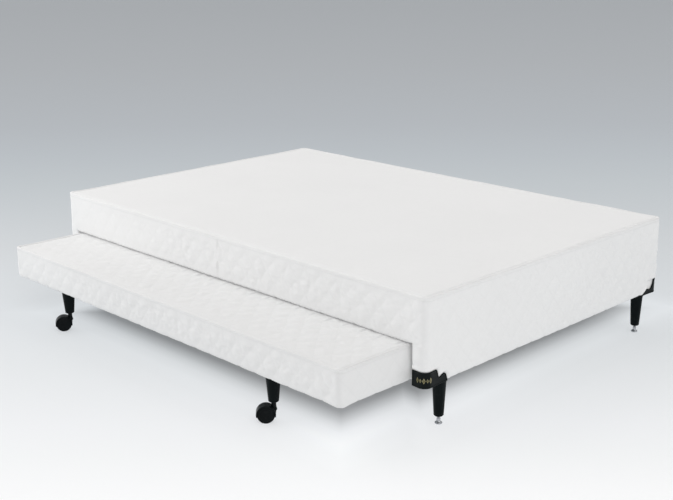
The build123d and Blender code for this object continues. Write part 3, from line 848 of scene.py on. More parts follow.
def plastic(name, base, rough, grain=0.18, scale=520.0, worn=0.5, gloss=0.18):
    """Moulded plastic: fine spark-eroded grain, flow marks, edges rubbed a little brighter."""
    m = Mat(name, Specular_IOR_Level=gloss)
    g = m.noise(scale, 2.0)
    flow = m.noise(1.0, 3.0, vector=m.coords((22, 22, 6)), distortion=0.8)
    dust = m.noise(75.0, 5.0, 0.7)
    geo = m.t.nodes.new("ShaderNodeNewGeometry")
    edge = m.spread(geo.outputs["Pointiness"], 0.52, 0.60, 0.0, 1.0)
    edge = m.math("MULTIPLY", edge, m.spread(m.noise(140.0, 3.0), 0.42, 0.62, 0.0, worn))
    col = m.mix(m.spread(flow, 0.35, 0.65, 0, 1), tuple(x * 0.8 for x in base), tuple(min(1, x * 1.15) for x in base))
    col = m.mix(m.spread(dust, 0.56, 0.72, 0.0, 0.02), col, (0.30, 0.30, 0.30))
    col = m.mix(edge, col, tuple(min(1, x * 2.4 + 0.006) for x in base))
    r = m.math("ADD", m.spread(g, 0.3, 0.7, rough - 0.05, rough + 0.06), m.math("MULTIPLY", edge, 0.12))
    scratch = m.noise(1.0, 2.0, vector=m.coords((900, 60, 900), rot=(0.3, 0.2, 0.5)))
    n = m.bump(g, grain, 0.0003)
    n = m.bump(m.spread(scratch, 0.62, 0.72, 0.0, 1.0), 0.06, 0.0002, n)
    m.set("Base Color", col).set("Roughness", r).set("Normal", n)
    return m.mat


guard_mat = plastic("guard_plastic", (0.0032, 0.0056, 0.0058), 0.34, gloss=0.10)
leg_mat = plastic("leg_plastic", (0.0026, 0.0050, 0.0055), 0.34, 0.14, gloss=0.07)
caster_mat = plastic("caster_plastic", (0.0026, 0.0046, 0.0052), 0.27, 0.10, gloss=0.11)
wheel_mat = plastic("wheel_plastic", (0.0034, 0.0050, 0.0056), 0.38, 0.14, 700.0, 0.7, gloss=0.09)


def gold_material():
    m = Mat("gilt_print", Metallic=0.85, Roughness=0.36)
    rub = m.noise(260.0, 5.0, 0.7)
    cloud = m.noise(60.0, 3.0)
    col = m.mix(m.spread(cloud, 0.35, 0.65, 0, 1), (0.24, 0.215, 0.11), (0.36, 0.33, 0.20))
    col = m.mix(m.spread(rub, 0.60, 0.70, 0.0, 0.7), col, (0.03, 0.032, 0.028))
    m.set("Base Color", col).set("Roughness", m.spread(rub, 0.3, 0.7, 0.3, 0.5)).set("Normal", m.bump(rub, 0.2, 0.0002))
    return m.mat


gold_mat = gold_material()


def metal(name, base, rough, brushed, stains=0.3):
    m = Mat(name, Metallic=1.0)
    fine = m.noise(1.0, 3.0, vector=m.coords((90, 90, 1400)) if brushed else m.coords((600, 600, 600)))
    cloud = m.noise(70.0, 4.0, 0.65)
    col = m.mix(m.spread(cloud, 0.35, 0.68, 0.0, stains), base, tuple(x * 0.55 for x in base))
    m.set("Base Color", col).set("Roughness", m.spread(fine, 0.3, 0.7, rough * 0.7, rough * 1.4))
    m.set("Normal", m.bump(fine, 0.12, 0.0002))
    return m.mat


chrome_mat = metal("glide_chrome", (0.40, 0.42, 0.44), 0.17, False, 0.25)
zinc_mat = metal("zinc_steel", (0.56, 0.57, 0.60), 0.34, True, 0.45)


def wood(name, light, dark, along):
    """Sawn softwood: rings stretched along the grain, pores, and broad blotches."""
    m = Mat(name, Specular_IOR_Level=0.25)
    s = [26.0, 26.0, 26.0]
    s[along] = 1.6
    v = m.coords(tuple(s))
    warp = m.noise(0.9, 4.0, 0.6, vector=v, distortion=1.2)
    rings = m.math("FRACT", m.math("MULTIPLY", warp, 9.0))
    rings = m.math("POWER", m.math("ABSOLUTE", m.math("SUBTRACT", m.math("MULTIPLY", rings, 2.0), 1.0)), 1.6)
    f = [900.0, 900.0, 900.0]
    f[along] = 14.0
    pores = m.noise(1.0, 2.0, vector=m.coords(tuple(f)))
    col = m.mix(rings, light, dark)
    col = m.mix(m.spread(pores, 0.5, 0.75, 0.0, 0.4), col, tuple(x * 0.6 for x in dark))
    col = m.mix(m.spread(m.noise(3.0, 3.0), 0.35, 0.7, 0.0, 0.25), col, tuple(x * 0.75 for x in light))
    n = m.bump(pores, 0.3, 0.0006)
    n = m.bump(rings, 0.12, 0.0006, n)
    m.set("Base Color", col).set("Roughness", m.spread(pores, 0.3, 0.7, 0.62, 0.82)).set("Normal", n)
    return m.mat


timber_x = wood("timber_x", (0.62, 0.45, 0.27), (0.42, 0.26, 0.13), 0)
timber_y = wood("timber_y", (0.60, 0.43, 0.26), (0.41, 0.255, 0.13), 1)
timber_z = wood("timber_z", (0.61, 0.44, 0.265), (0.41, 0.26, 0.13), 2)


def board():
    m = Mat("hardboard", Specular_IOR_Level=0.3)
    chips = m.noise(240.0, 4.0, 0.7, distortion=0.6)
    cloud = m.noise(4.0, 4.0)
    mesh = m.voronoi(700.0)
    col = m.mix(m.spread(chips, 0.3, 0.7, 0, 1), (0.24, 0.145, 0.075), (0.36, 0.23, 0.125))
    col = m.mix(m.spread(cloud, 0.35, 0.65, 0, 0.3), col, (0.20, 0.12, 0.06))
    m.set("Base Color", col).set("Roughness", m.spread(chips, 0.3, 0.7, 0.5, 0.7))
    m.set("Normal", m.bump(mesh, 0.25, 0.0005, m.bump(chips, 0.2, 0.0005)))
    return m.mat


hardboard_mat = board()


# ---------------------------------------------------------------- soft goods of the bed base
base_line = Outline(BX0, BX1, BY0, BY1, R_BASE)
trundle_line = Outline(TX0, TX1, TY0, TY1, R_TR)
Z_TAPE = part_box("edge_tape")[0].z
Z_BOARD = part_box("deck_board")[1].z
Z_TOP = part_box("top_cover")[1].z
Z_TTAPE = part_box("trundle_edge_tape")[0].z
Z_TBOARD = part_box("trundle_board")[1].z
Z_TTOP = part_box("trundle_cover")[1].z
STEP = 0.0045

border = fabric_band("base_border", base_line, Z_UNDER, Z_TAPE + 0.0004, STEP, 0.0032, 11,
                     opening=(OPEN_X, OPEN_Z), guards=True)
paint(border, quilt_mat)
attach(border, "bed_base")
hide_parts("side_border")


def cover_height(z_top, dip, crown, seed):
    def height(x, y, d):
        roll = np.clip(1 - d / 0.011, 0, 1)
        z = z_top - dip * (1 - np.sqrt(1 - 0.999 * roll * roll))
        z = z - 0.0010 * np.exp(-d / 0.045) + crown * smooth(0.0, 0.25, d)
        # slack: broad soft waves, and short puckers running in from the seam
        z = z + 0.0009 * vnoise(x * 2.6, y * 3.1, 0, seed) + 0.0005 * fnoise(x * 11, y * 12, 0, seed + 1)
        across = np.where(np.abs(np.abs(x) - BX1) < np.abs(np.abs(y - (BY0 + BY1) / 2) - (BY1 - BY0) / 2), y, x)
        z = z + 0.0006 * vnoise(across * 42, 1.7, 0, seed + 2) * np.exp(-d / 0.03) * smooth(0.0, 0.004, d)
        return 0 * x, 0 * y, z
    return height


cover = pad("base_top", BX0 + 0.0088, BX1 - 0.0088, BY0 + 0.0088, BY1 - 0.0088, R_BASE - 0.0088,
            0.008, cover_height(Z_TOP, 0.0078, 0.0010, 41), Z_BOARD + 0.0002)
paint(cover, cover_mat)
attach(cover, "bed_base")
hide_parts("top_cover", "foam_pad")

tape = tube_ring("base_edge_tape", base_line, 0.0054, Z_TAPE + 0.0050, 0.0058, 0.0056, 0.008, 51, 18, 0.0008)
paint(tape, tape_mat)
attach(tape, "bed_base")
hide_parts("edge_tape")

# ---------------------------------------------------------------- soft goods of the trundle
t_border = fabric_band("trundle_side_border", trundle_line, TZ0, Z_TTAPE + 0.0004, STEP, 0.0040, 23,
                       bulge=0.0012, gather=0.95, sharp=1.0)
paint(t_border, trundle_quilt_shaded_mat)
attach(t_border, "trundle")
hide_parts("trundle_border")

T_PHASE = 0.31


def trundle_uv(x, y):
    return x + T_PHASE * PITCH_U, (y - TY0) + 0.2 * PITCH_V


def trundle_height(x, y, d):
    u, v = trundle_uv(x, y)
    du, dv, dn, a, b = quilt(u, v, 67)
    puff = 0.0023 * (0.25 + 0.75 * smooth(0.0, 0.04, d)) * (1 - 0.45 * smooth(0.10, 0.60, -x))
    z = Z_TTOP - 0.0014 + dn * puff
    roll = np.clip(1 - d / 0.012, 0, 1)
    z = z - 0.0050 * (1 - np.sqrt(1 - 0.999 * roll * roll))
    cu = u / PITCH_U
    tick = np.abs(cu - np.round(cu)) * PITCH_U
    z = z - 0.0014 * np.exp(-(tick / 0.0045) ** 2) * np.exp(-d / 0.018) * smooth(0.0, 0.004, d)
    # short creases where the header's hem rubs on the cover
    z = z - 0.0034 * np.exp(-(tick / 0.0032) ** 2) * np.exp(-((y - BY0 + 0.012) / 0.018) ** 2)
    z = z + 0.0009 * vnoise(x * 4.1, y * 5.3, 0, 68) + 0.0004 * fnoise(x * 31, y * 33, 0, 69)
    k = smooth(0.0, 0.02, d) * puff * 0.8
    return du * k, dv * k, z


def trundle_ab(x, y):
    u, v = trundle_uv(x, y)
    a, b = quilt(u, v, 67)[3:]
    return a, b


def trundle_crease_shade(x, y):
    """Painted shade in the creases by the header, where its shadow falls; it fades out towards the left-hand end."""
    cu = trundle_uv(x, y)[0] / PITCH_U
    tick = np.abs(cu - np.round(cu)) * PITCH_U
    return 1.5 * np.exp(-(tick / 0.0050) ** 2) * np.exp(-((y - BY0 + 0.010) / 0.015) ** 2) * smooth(-0.45, 0.0, x)


t_cover = pad("trundle_top", TX0 + 0.0088, TX1 - 0.0088, TY0 + 0.0088, TY1 - 0.0088, R_TR - 0.0088,
              STEP, trundle_height, Z_TBOARD + 0.0002, maps=trundle_ab, extra_shade=trundle_crease_shade)
paint(t_cover, trundle_quilt_shaded_mat)
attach(t_cover, "trundle")
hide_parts("trundle_cover", "trundle_foam")

t_tape = tube_ring("trundle_edge_binding", trundle_line, 0.0054, Z_TTAPE + 0.0042, 0.0058, 0.0050, 0.008, 57, 18, 0.0006)
paint(t_tape, trundle_tape_shaded_mat)
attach(t_tape, "trundle")
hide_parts("trundle_edge_tape")


# ---------------------------------------------------------------- thin sheets: linings, dust covers, the border's turned-in edges
def sheet_grid(name, points, nu, nv, closed=False):
    """An open sheet from points(s, t), s and t in 0..1, returning (x, y, z) and the flat (u, v)."""
    s, t = np.meshgrid(np.linspace(0, 1, nu), np.linspace(0, 1, nv), indexing="ij")
    P, uv = points(s, t)
    faces = [(i * nv + j, (i + 1) * nv + j, (i + 1) * nv + j + 1, i * nv + j + 1) for i in range(nu - 1) for j in range(nv - 1)]
    ob = make_object(name, P.reshape(-1, 3), faces)
    cloth_maps(ob, uv.reshape(-1, 2), np.zeros(nu * nv))
    return ob


LO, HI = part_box("deck_dust_cover")
DX0, DX1, DY0, DY1, DZ = LO.x, HI.x, LO.y, HI.y, (LO.z + HI.z) / 2


def deck_points(s, t):
    x, y = DX0 + (DX1 - DX0) * s, DY0 + (DY1 - DY0) * t
    edge = np.minimum(np.minimum(s, 1 - s) * (DX1 - DX0), np.minimum(t, 1 - t) * (DY1 - DY0))
    # held by staples under the joists, so it hangs a little between them
    z = DZ - 0.0010 * smooth(0, 0.08, edge) * (0.6 + 0.4 * vnoise(x * 4, y * 4, 0, 81)) + 0.0003 * fnoise(x * 18, y * 18, 0, 82)
    return np.stack([x, y, z], -1), np.stack([x, y], -1)


dust = sheet_grid("deck_dust_sheet", deck_points, 150, 100)
paint(dust, lining_mat)
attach(dust, "bed_base")
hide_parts("deck_dust_cover")

LO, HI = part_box("bay_linings")
LX, LZ0, LZ1, LYB = (OPEN_X + 0.0018), LO.z, HI.z, HI.y - 0.0014
_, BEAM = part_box("front_header_beam")
LY0 = LO.y + 0.0009


def lining_points(s, t):
    """One strip of cloth: up the left end of the bay, along its back and down the right end."""
    run = [LYB - LY0, 2 * LX, LYB - LY0]
    u = s * sum(run)
    x = np.where(u < run[0], -LX, np.where(u < run[0] + run[1], -LX + (u - run[0]), LX))
    y = np.where(u < run[0], LY0 + u, np.where(u < run[0] + run[1], LYB, LYB - (u - run[0] - run[1])))
    top = np.where(y < BEAM.y + 0.004, OPEN_Z + 0.0022, LZ1 - 0.0008)
    z = LZ0 + 0.0006 + (top - LZ0 - 0.0006) * t
    e = np.minimum(t, 1 - t) * (LZ1 - LZ0)
    w = 0.0005 * smooth(0, 0.02, e) * vnoise(u * 6, z * 9, 0, 83)
    x = np.where(np.abs(x) > LX - 1e-6, x + np.sign(x) * w, x)
    y = np.where(np.abs(np.abs(x) - LX) > 0.002, y + w, y)
    return np.stack([x, y, z], -1), np.stack([u, z], -1)


bay = sheet_grid("bay_lining_strip", lining_points, 420, 22)
paint(bay, lining_mat)
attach(bay, "bed_base")
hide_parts("bay_linings")

LO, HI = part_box("trundle_dust_cover")
TDZ = (LO.z + HI.z) / 2
inner = Outline(LO.x, HI.x, LO.y, HI.y, R_TR - (TX1 - HI.x))


def trundle_dust():
    step = 0.02
    hx, hy = (inner.segs[2][1][0] - inner.segs[6][1][0]) / 2, (BY0, 0)[1]
    cx, cy = (LO.x + HI.x) / 2, (LO.y + HI.y) / 2
    hx, hy = (HI.x - LO.x) / 2, (HI.y - LO.y) / 2
    r = inner.r
    gx, gy = edge_grid(hx, r, step, (0, 0.006, 0.014)), edge_grid(hy, r, step, (0, 0.006, 0.014))
    X, Y = np.meshgrid(gx, gy, indexing="ij")
    ax, ay = np.abs(X) - (hx - r), np.abs(Y) - (hy - r)
    corner = (ax > 0) & (ay > 0)
    xi, et = np.where(corner, ax / r, 0), np.where(corner, ay / r, 0)
    big = np.maximum(xi, et)
    th = np.where(xi >= et, math.pi / 4 * et / np.maximum(xi, 1e-9), math.pi / 2 - math.pi / 4 * xi / np.maximum(et, 1e-9))
    X = np.where(corner, np.sign(X) * (hx - r + r * big * np.cos(th)), X)
    Y = np.where(corner, np.sign(Y) * (hy - r + r * big * np.sin(th)), Y)
    edge = np.minimum(hx - np.abs(X), hy - np.abs(Y))
    Z = TDZ + 0.0004 * smooth(0, 0.04, edge) * vnoise(X * 5, Y * 5, 0, 85)
    n, m = X.shape
    P = np.stack([X + cx, Y + cy, Z], -1).reshape(-1, 3)
    keep = np.ones((n - 1, m - 1), bool)
    faces = [(i * m + j, i * m + j + 1, (i + 1) * m + j + 1, (i + 1) * m + j) for i in range(n - 1) for j in range(m - 1)]
    ob = make_object("trundle_dust_sheet", P, faces)
    cloth_maps(ob, P[:, :2], np.zeros(len(P)))
    return ob, 4 * hx * hy - (4 - math.pi) * r * r


t_dust, t_dust_area = trundle_dust()
paint(t_dust, lining_mat)
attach(t_dust, "trundle")
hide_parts("trundle_dust_cover")


def turned_in():
    """The border's lower edge goes on under the walls and under the header, and is stapled there."""
    verts, faces, uv = [], [], []
    us = base_line.lines(0.02, 0.006, (OPEN_X, base_line.total - OPEN_X))
    sel = [u for u in us if OPEN_X - 1e-6 <= u <= base_line.total - OPEN_X + 1e-6]
    yb = LYB - 0.0012
    pos, nrm = base_line.at(np.array(sel), 0.0070)
    rows = 6
    for k, (p, u) in enumerate(zip(pos, sel)):
        q = np.array([np.clip(p[0], -OPEN_X, OPEN_X), min(p[1], yb)])
        if abs(p[0]) < OPEN_X:
            q[1] = yb
        for r in range(rows):
            f = r / (rows - 1)
            x, y = p * (1 - f) + q * f
            z = Z_UNDER + 0.0009 + 0.00035 * vnoise(u * 30, f * 4, 0, 91) * (0 < r < rows - 1)
            verts.append((x, y, z))
            uv.append((u, f * 0.05))
    for k in range(len(sel) - 1):
        for r in range(rows - 1):
            a = k * rows + r
            faces.append((a, a + 1, a + rows + 1, a + rows))
    n0 = len(verts)
    y1 = BEAM.y - 0.0005
    nx, ny = 180, 5
    for i in range(nx + 1):
        for j in range(ny + 1):
            x = -OPEN_X + 2 * OPEN_X * i / nx
            y = BY0 + 0.0072 + (y1 - BY0 - 0.0072) * j / ny
            z = OPEN_Z + 0.0011 - 0.0005 * math.sin(math.pi * j / ny) * float(0.5 + 0.5 * vnoise(x * 16, 0.4, 0, 92))
            verts.append((x, y, z))
            uv.append((x, y))
    for i in range(nx):
        for j in range(ny):
            a = n0 + i * (ny + 1) + j
            faces.append((a, a + 1, a + ny + 2, a + ny + 1))
    ob = make_object("border_turned_in", verts, faces)
    uv = np.array(uv)
    # painted shade: the cloth under the bed is painted a quarter of the way to grey
    cloth_maps(ob, uv, np.full(len(uv), 0.25))
    return ob


turned = turned_in()
paint(turned, cover_mat)
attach(turned, "bed_base")


def staples(name, places, z, seed):
    """Crowns of the staples that hold cloth under a rail: places are (x, y, angle)."""
    rng = np.random.default_rng(seed)
    verts, faces = [], []
    w, h, t = 0.0052, 0.00045, 0.0007
    for x, y, a in places:
        a = a + rng.normal(0, 0.16)
        x, y = x + rng.normal(0, 0.0012), y + rng.normal(0, 0.0012)
        c, s = math.cos(a), math.sin(a)
        prof = [(-w, 0.0), (-w, -h * 0.6), (-w * 0.93, -h), (w * 0.93, -h), (w, -h * 0.6), (w, 0.0)]
        n0 = len(verts)
        for px, pz in prof:
            for py in (-t / 2, t / 2):
                verts.append((x + px * c - py * s, y + px * s + py * c, z + pz))
        for k in range(len(prof) - 1):
            q = n0 + 2 * k
            faces.append((q, q + 2, q + 3, q + 1))
        faces.append(tuple(n0 + 2 * k for k in range(len(prof)))[::-1])
        faces.append(tuple(n0 + 2 * k + 1 for k in range(len(prof))))
    ob = make_object(name, verts, faces, shade=False)
    return ob


# ---------------------------------------------------------------- corner guards
def wing_top(s, wing):
    pts = [(a, b) for a, b in wing if b > 0.1001 and a > -0.01 or b == 0.190]
    pts = sorted({(max(a, 0.0), b) for a, b in pts})
    xs, zs = zip(*pts)
    return np.interp(s, xs, zs)


def guard_shell(name, corner):
    """A moulded shell round one bottom corner with a raised rim, and its flange round the top of the leg."""
    front = corner[0] == "f"
    r = R_BASE
    q = math.pi * r / 2
    # arc length measured from the start of the corner's arc, on the right-hand side
    if front:
        start, end = (OPEN_X + 0.0002) - (BX1 - r), q + 0.101 - r
    else:
        start, end = -(0.084 - r), q + 0.084 - r
    us = np.unique(np.round(np.concatenate([
        np.arange(start, end, 0.0016), [start + k for k in (0, .0004, .0010, .0018)], [end - k for k in (0, .0004, .0010, .0018)]]), 7))

    def place(u):
        """Position, normal and distances from the two faces, for a corner whose arc is centred at the origin of r."""
        th = np.clip(u / r, 0, math.pi / 2)
        n = np.stack([np.sin(th), -np.cos(th)], -1)
        p = n * r
        p[..., 0] += np.where(u < 0, u, 0)
        p[..., 1] += np.where(u > q, u - q, 0)
        return p, n

    P, N = place(us)
    s_face = P[:, 1] + r                     # distance from the face the arc starts on
    s_side = r - P[:, 0]                     # distance from the face it ends on
    if front:
        top = wing_top(s_face, FRONT_WING)
    else:
        top = np.maximum(np.where(us < q * 1.5, wing_top(s_side, REAR_WING), 0), np.where(us > -q, wing_top(s_face, REAR_WING), 0))
        top = np.where(us < 0, wing_top(s_side, REAR_WING), np.where(us > q, wing_top(s_face, REAR_WING), top))
    z0 = 0.1405
    rows = 34
    tt = np.linspace(0, 1, rows)
    tt = np.unique(np.round(np.concatenate([tt, [0.008, 0.02, 0.04, 0.97, 0.985, 0.995]]), 5))
    U, T = np.meshgrid(us, tt, indexing="ij")
    TOP = np.maximum(np.repeat(top[:, None], len(tt), 1), z0 + 0.0012)
    Z = z0 + (TOP - z0) * T
    # distance to the shell's outline, in the unrolled plane
    poly = [(us[0], z0)] + [(us[-1], z0)] + [(a, b) for a, b in zip(us[::-1], np.maximum(top[::-1], z0 + 0.0012))]
    D = -polygon_distance(U, Z, poly)
    D = np.maximum(D, 0)
    rim = smooth(0.0044, 0.0030, D)
    mid = q / 2
    swell = np.exp(-((U - mid) / 0.040) ** 2)
    inset = 0.0004 - 0.0009 * rim - (FLARE + 0.0006) * swell
    k = np.clip(1 - D / 0.0012, 0, 1)
    inset = inset + 0.0011 * (1 - np.sqrt(1 - 0.999 * k * k))
    n, m = U.shape
    outer = np.zeros((n, m, 3))
    outer[..., :2] = P[:, None, :] - N[:, None, :] * inset[..., None]
    outer[..., 2] = Z
    inner_ = np.zeros((n, m, 3))
    inner_[..., :2] = P[:, None, :] - N[:, None, :] * (0.0030 - FLARE * swell)[..., None]
    inner_[..., 2] = Z
    verts = list(outer.reshape(-1, 3)) + list(inner_.reshape(-1, 3))
    o, c = lambda i, j: i * m + j, lambda i, j: n * m + i * m + j
    faces = []
    for i in range(n - 1):
        for j in range(m - 1):
            faces.append((o(i, j), o(i + 1, j), o(i + 1, j + 1), o(i, j + 1)))
            faces.append((c(i, j), c(i, j + 1), c(i + 1, j + 1), c(i + 1, j)))
        faces.append((o(i, 0), c(i, 0), c(i + 1, 0), o(i + 1, 0)))
        faces.append((o(i, m - 1), o(i + 1, m - 1), c(i + 1, m - 1), c(i, m - 1)))
    for j in range(m - 1):
        faces.append((o(0, j), o(0, j + 1), c(0, j + 1), c(0, j)))
        faces.append((o(n - 1, j), c(n - 1, j), c(n - 1, j + 1), o(n - 1, j + 1)))
    # to the right-hand front corner of the bed, in the frame
    V = np.array(verts)
    ax_, ay_ = BX1 - r, BY0 + r
    V[:, 0] += ax_
    V[:, 1] += ay_
    # flange: a flat plate under the corner, trimmed to the outline, round the leg
    leg = LEGS["fr"] if front else Vector((LEGS["br"].x, BY0 + (BY1 - LEGS["br"].y), 0))
    ring = []
    for a in np.arange(0, 360, 5.0):
        d = np.array([math.cos(math.radians(a)), math.sin(math.radians(a))])
        lo_, hi_ = 0.006, 0.0242
        best = lo_
        for t in np.linspace(lo_, hi_, 60):
            x, y = leg.x + d[0] * t, leg.y + d[1] * t
            qx, qy = max(x - ax_, 0), max(ay_ - y, 0)
            inside = x < BX1 - 0.0025 and y > BY0 + 0.0025 and (qx == 0 or qy == 0 or math.hypot(qx, qy) < r - 0.0025)
            if front:
                inside = inside and x > OPEN_X + 0.0002
            if inside:
                best = t
        ring.append((leg.x + d[0] * best, leg.y + d[1] * best, leg.x + d[0] * 0.0055, leg.y + d[1] * 0.0055))
    nb = len(V)
    F = []
    k = len(ring)
    for x, y, ix, iy in ring:
        F += [(x, y, 0.1426), (x, y, 0.1450), (ix, iy, 0.1450), (ix, iy, 0.1422), ((x * 0.96 + ix * 0.04), (y * 0.96 + iy * 0.04), 0.1421)]
    for i in range(k):
        w = (i + 1) % k
        for s in range(5):
            e = (s + 1) % 5
            faces.append((nb + i * 5 + s, nb + w * 5 + s, nb + w * 5 + e, nb + i * 5 + e))
    V = np.concatenate([V, np.array(F)])
    if not front:                            # the back corner is the front one turned over in Y
        V[:, 1] = BY0 + BY1 - V[:, 1]
    if corner[1] == "l":
        V[:, 0] = BX0 + BX1 - V[:, 0]
    ob = make_object(name, V, faces)
    if (corner == "fl") or (corner == "br"):
        ob.data.flip_normals()
    auto_smooth(ob, 50)
    return ob


def guard_mark(name, corner):
    """A plain ornament on the front guards: a row of open lozenges, printed in gilt."""
    r = R_BASE
    q = math.pi * r / 2
    verts, faces = [], []

    def put(u, z, lift):
        th = min(max(u / r, 0.0), math.pi / 2)
        n = (math.sin(th), -math.cos(th))
        d = r - 0.0004 + (FLARE + 0.0006) * math.exp(-((u - q / 2) / 0.040) ** 2) + lift
        x, y = n[0] * d + min(u, 0.0), n[1] * d + max(u - q, 0.0)
        return (BX1 - r + x, BY0 + r + y, z)

    def patch(points, lift=0.00022):
        """A thin raised plate with the given outline in (u, z)."""
        n0 = len(verts)
        k = len(points)
        cu, cz = sum(p[0] for p in points) / k, sum(p[1] for p in points) / k
        for u, z in points:
            verts.append(put(u, z, -0.0001))
            verts.append(put(u, z, lift))
        verts.append(put(cu, cz, lift))
        for i in range(k):
            j = (i + 1) % k
            faces.append((n0 + 2 * i, n0 + 2 * j, n0 + 2 * j + 1, n0 + 2 * i + 1))
            faces.append((n0 + 2 * i + 1, n0 + 2 * j + 1, n0 + 2 * k))

    zc = 0.1650
    for i in range(5):
        uc = -0.0035 + i * 0.0097
        w, h = (0.0043, 0.0092) if i % 2 == 0 else (0.0034, 0.0064)
        outer = [(uc - w, zc), (uc, zc - h), (uc + w, zc), (uc, zc + h)]
        # an open lozenge: four bars round a gap, with a small one inside
        g = 0.56
        inner_ = [(uc + (u - uc) * g, zc + (z - zc) * g) for u, z in outer]
        for a in range(4):
            b = (a + 1) % 4
            patch([outer[a], outer[b], inner_[b], inner_[a]])
        g = 0.24
        patch([(uc + (u - uc) * g, zc + (z - zc) * g) for u, z in outer])
    V = np.array(verts)
    if corner == "fl":
        V[:, 0] = BX0 + BX1 - V[:, 0]
    ob = make_object(name, V, faces, shade=False)
    if corner == "fl":
        ob.data.flip_normals()
    return ob


for c in ("fl", "fr", "bl", "br"):
    g = guard_shell(f"guard_shell_{c}", c)
    paint(g, guard_mat)
    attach(g, "bed_base")
    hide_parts(f"corner_guard_{c}")
for c in ("fl", "fr"):
    g = guard_mark(f"guard_ornament_{c}", c)
    paint(g, gold_mat)
    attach(g, "bed_base")


# ---------------------------------------------------------------- turned parts
def lathe(name, profile, at=(0, 0), segs=72, smooth_angle=32.0, flutes=None):
    """A solid of revolution about Z from (radius, z) pairs, bottom to top, closed where the radius is 0."""
    verts, faces, rows = [], [], []
    for r, z in profile:
        if r <= 1e-9:
            rows.append([len(verts)])
            verts.append((at[0], at[1], z))
            continue
        row = []
        for s in range(segs):
            a = 2 * math.pi * s / segs
            rr = r if flutes is None else flutes(r, z, a)
            row.append(len(verts))
            verts.append((at[0] + rr * math.cos(a), at[1] + rr * math.sin(a), z))
        rows.append(row)
    for a, b in zip(rows[:-1], rows[1:]):
        for s in range(segs):
            w = (s + 1) % segs
            if len(a) == 1:
                faces.append((a[0], b[w], b[s]))
            elif len(b) == 1:
                faces.append((a[s], a[w], b[0]))
            else:
                faces.append((a[s], a[w], b[w], b[s]))
    ob = make_object(name, verts, faces)
    return auto_smooth(ob, smooth_angle)


def rounded(points, r=0.0008, n=3):
    """Rounds the corners of a profile with small arcs."""
    out = [points[0]]
    for a, b, c in zip(points[:-2], points[1:-1], points[2:]):
        pa, pb, pc = map(np.array, (a, b, c))
        la, lc = np.linalg.norm(pa - pb), np.linalg.norm(pc - pb)
        k = min(r, la * 0.45, lc * 0.45)
        p0, p1 = pb + (pa - pb) / la * k, pb + (pc - pb) / lc * k
        for i in range(n + 1):
            t = i / n
            out.append(tuple((1 - t) ** 2 * p0 + 2 * t * (1 - t) * pb + t * t * p1))
    out.append(points[-1])
    return out


for k, c in LEGS.items():
    LO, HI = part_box(f"leg_{k}")
    z0, z1, R = LO.z, HI.z, (HI.x - LO.x) / 2
    rb = 0.0156
    prof = [(0, z0), (0.0125, z0), (0.0134, z0 + 0.0004), (rb - 0.0002, z0 + 0.0034), (rb, z0 + 0.0065), (rb - 0.0007, z0 + 0.0070),
            (rb - 0.0007, z0 + 0.0082), (rb + 0.00015, z0 + 0.0087)]
    n = 10
    for i in range(1, n + 1):
        t = i / n
        z = z0 + 0.0087 + (z1 - 0.0060 - z0 - 0.0087) * t
        prof.append((rb + 0.00015 + (R - 0.0009 - rb) * t, z))
    prof += [(R - 0.0009, z1 - 0.0056), (R, z1 - 0.0048), (R, z1 - 0.0006), (R - 0.0005, z1), (0, z1)]

    def ribs(r, z, a, z0=z0, rb=rb):
        if z0 + 0.0030 < z < z0 + 0.0068:
            return r - 0.00035 * (0.5 + 0.5 * math.cos(a * 36))
        return r
    ob = lathe(f"leg_turned_{k}", rounded(prof, 0.0005, 2), (c.x, c.y), 144, 40, ribs)
    paint(ob, leg_mat)
    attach(ob, "bed_base")
    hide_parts(f"leg_{k}")

for k, c in TLEGS.items():
    LO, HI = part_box(f"trundle_leg_{k}")
    z0, z1, R = LO.z, HI.z, (HI.x - LO.x) / 2
    rb = 0.0165
    prof = [(0, z0), (0.0133, z0), (0.0142, z0 + 0.0004), (rb, z0 + 0.0030), (rb, z0 + 0.0056), (rb - 0.0006, z0 + 0.0061),
            (rb - 0.0006, z0 + 0.0071), (rb + 0.0002, z0 + 0.0076)]
    for i in range(1, 9):
        t = i / 8
        prof.append((rb + 0.0002 + (R - 0.0008 - rb) * t, z0 + 0.0076 + (z1 - 0.0060 - z0 - 0.0076) * t))
    prof += [(R - 0.0008, z1 - 0.0056), (R, z1 - 0.0048), (R, z1 - 0.0006), (R - 0.0005, z1), (0, z1)]
    ob = lathe(f"trundle_leg_turned_{k}", rounded(prof, 0.0005, 2), (c.x, c.y), 96, 40)
    paint(ob, leg_mat)
    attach(ob, "trundle")
    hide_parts(f"trundle_leg_{k}")

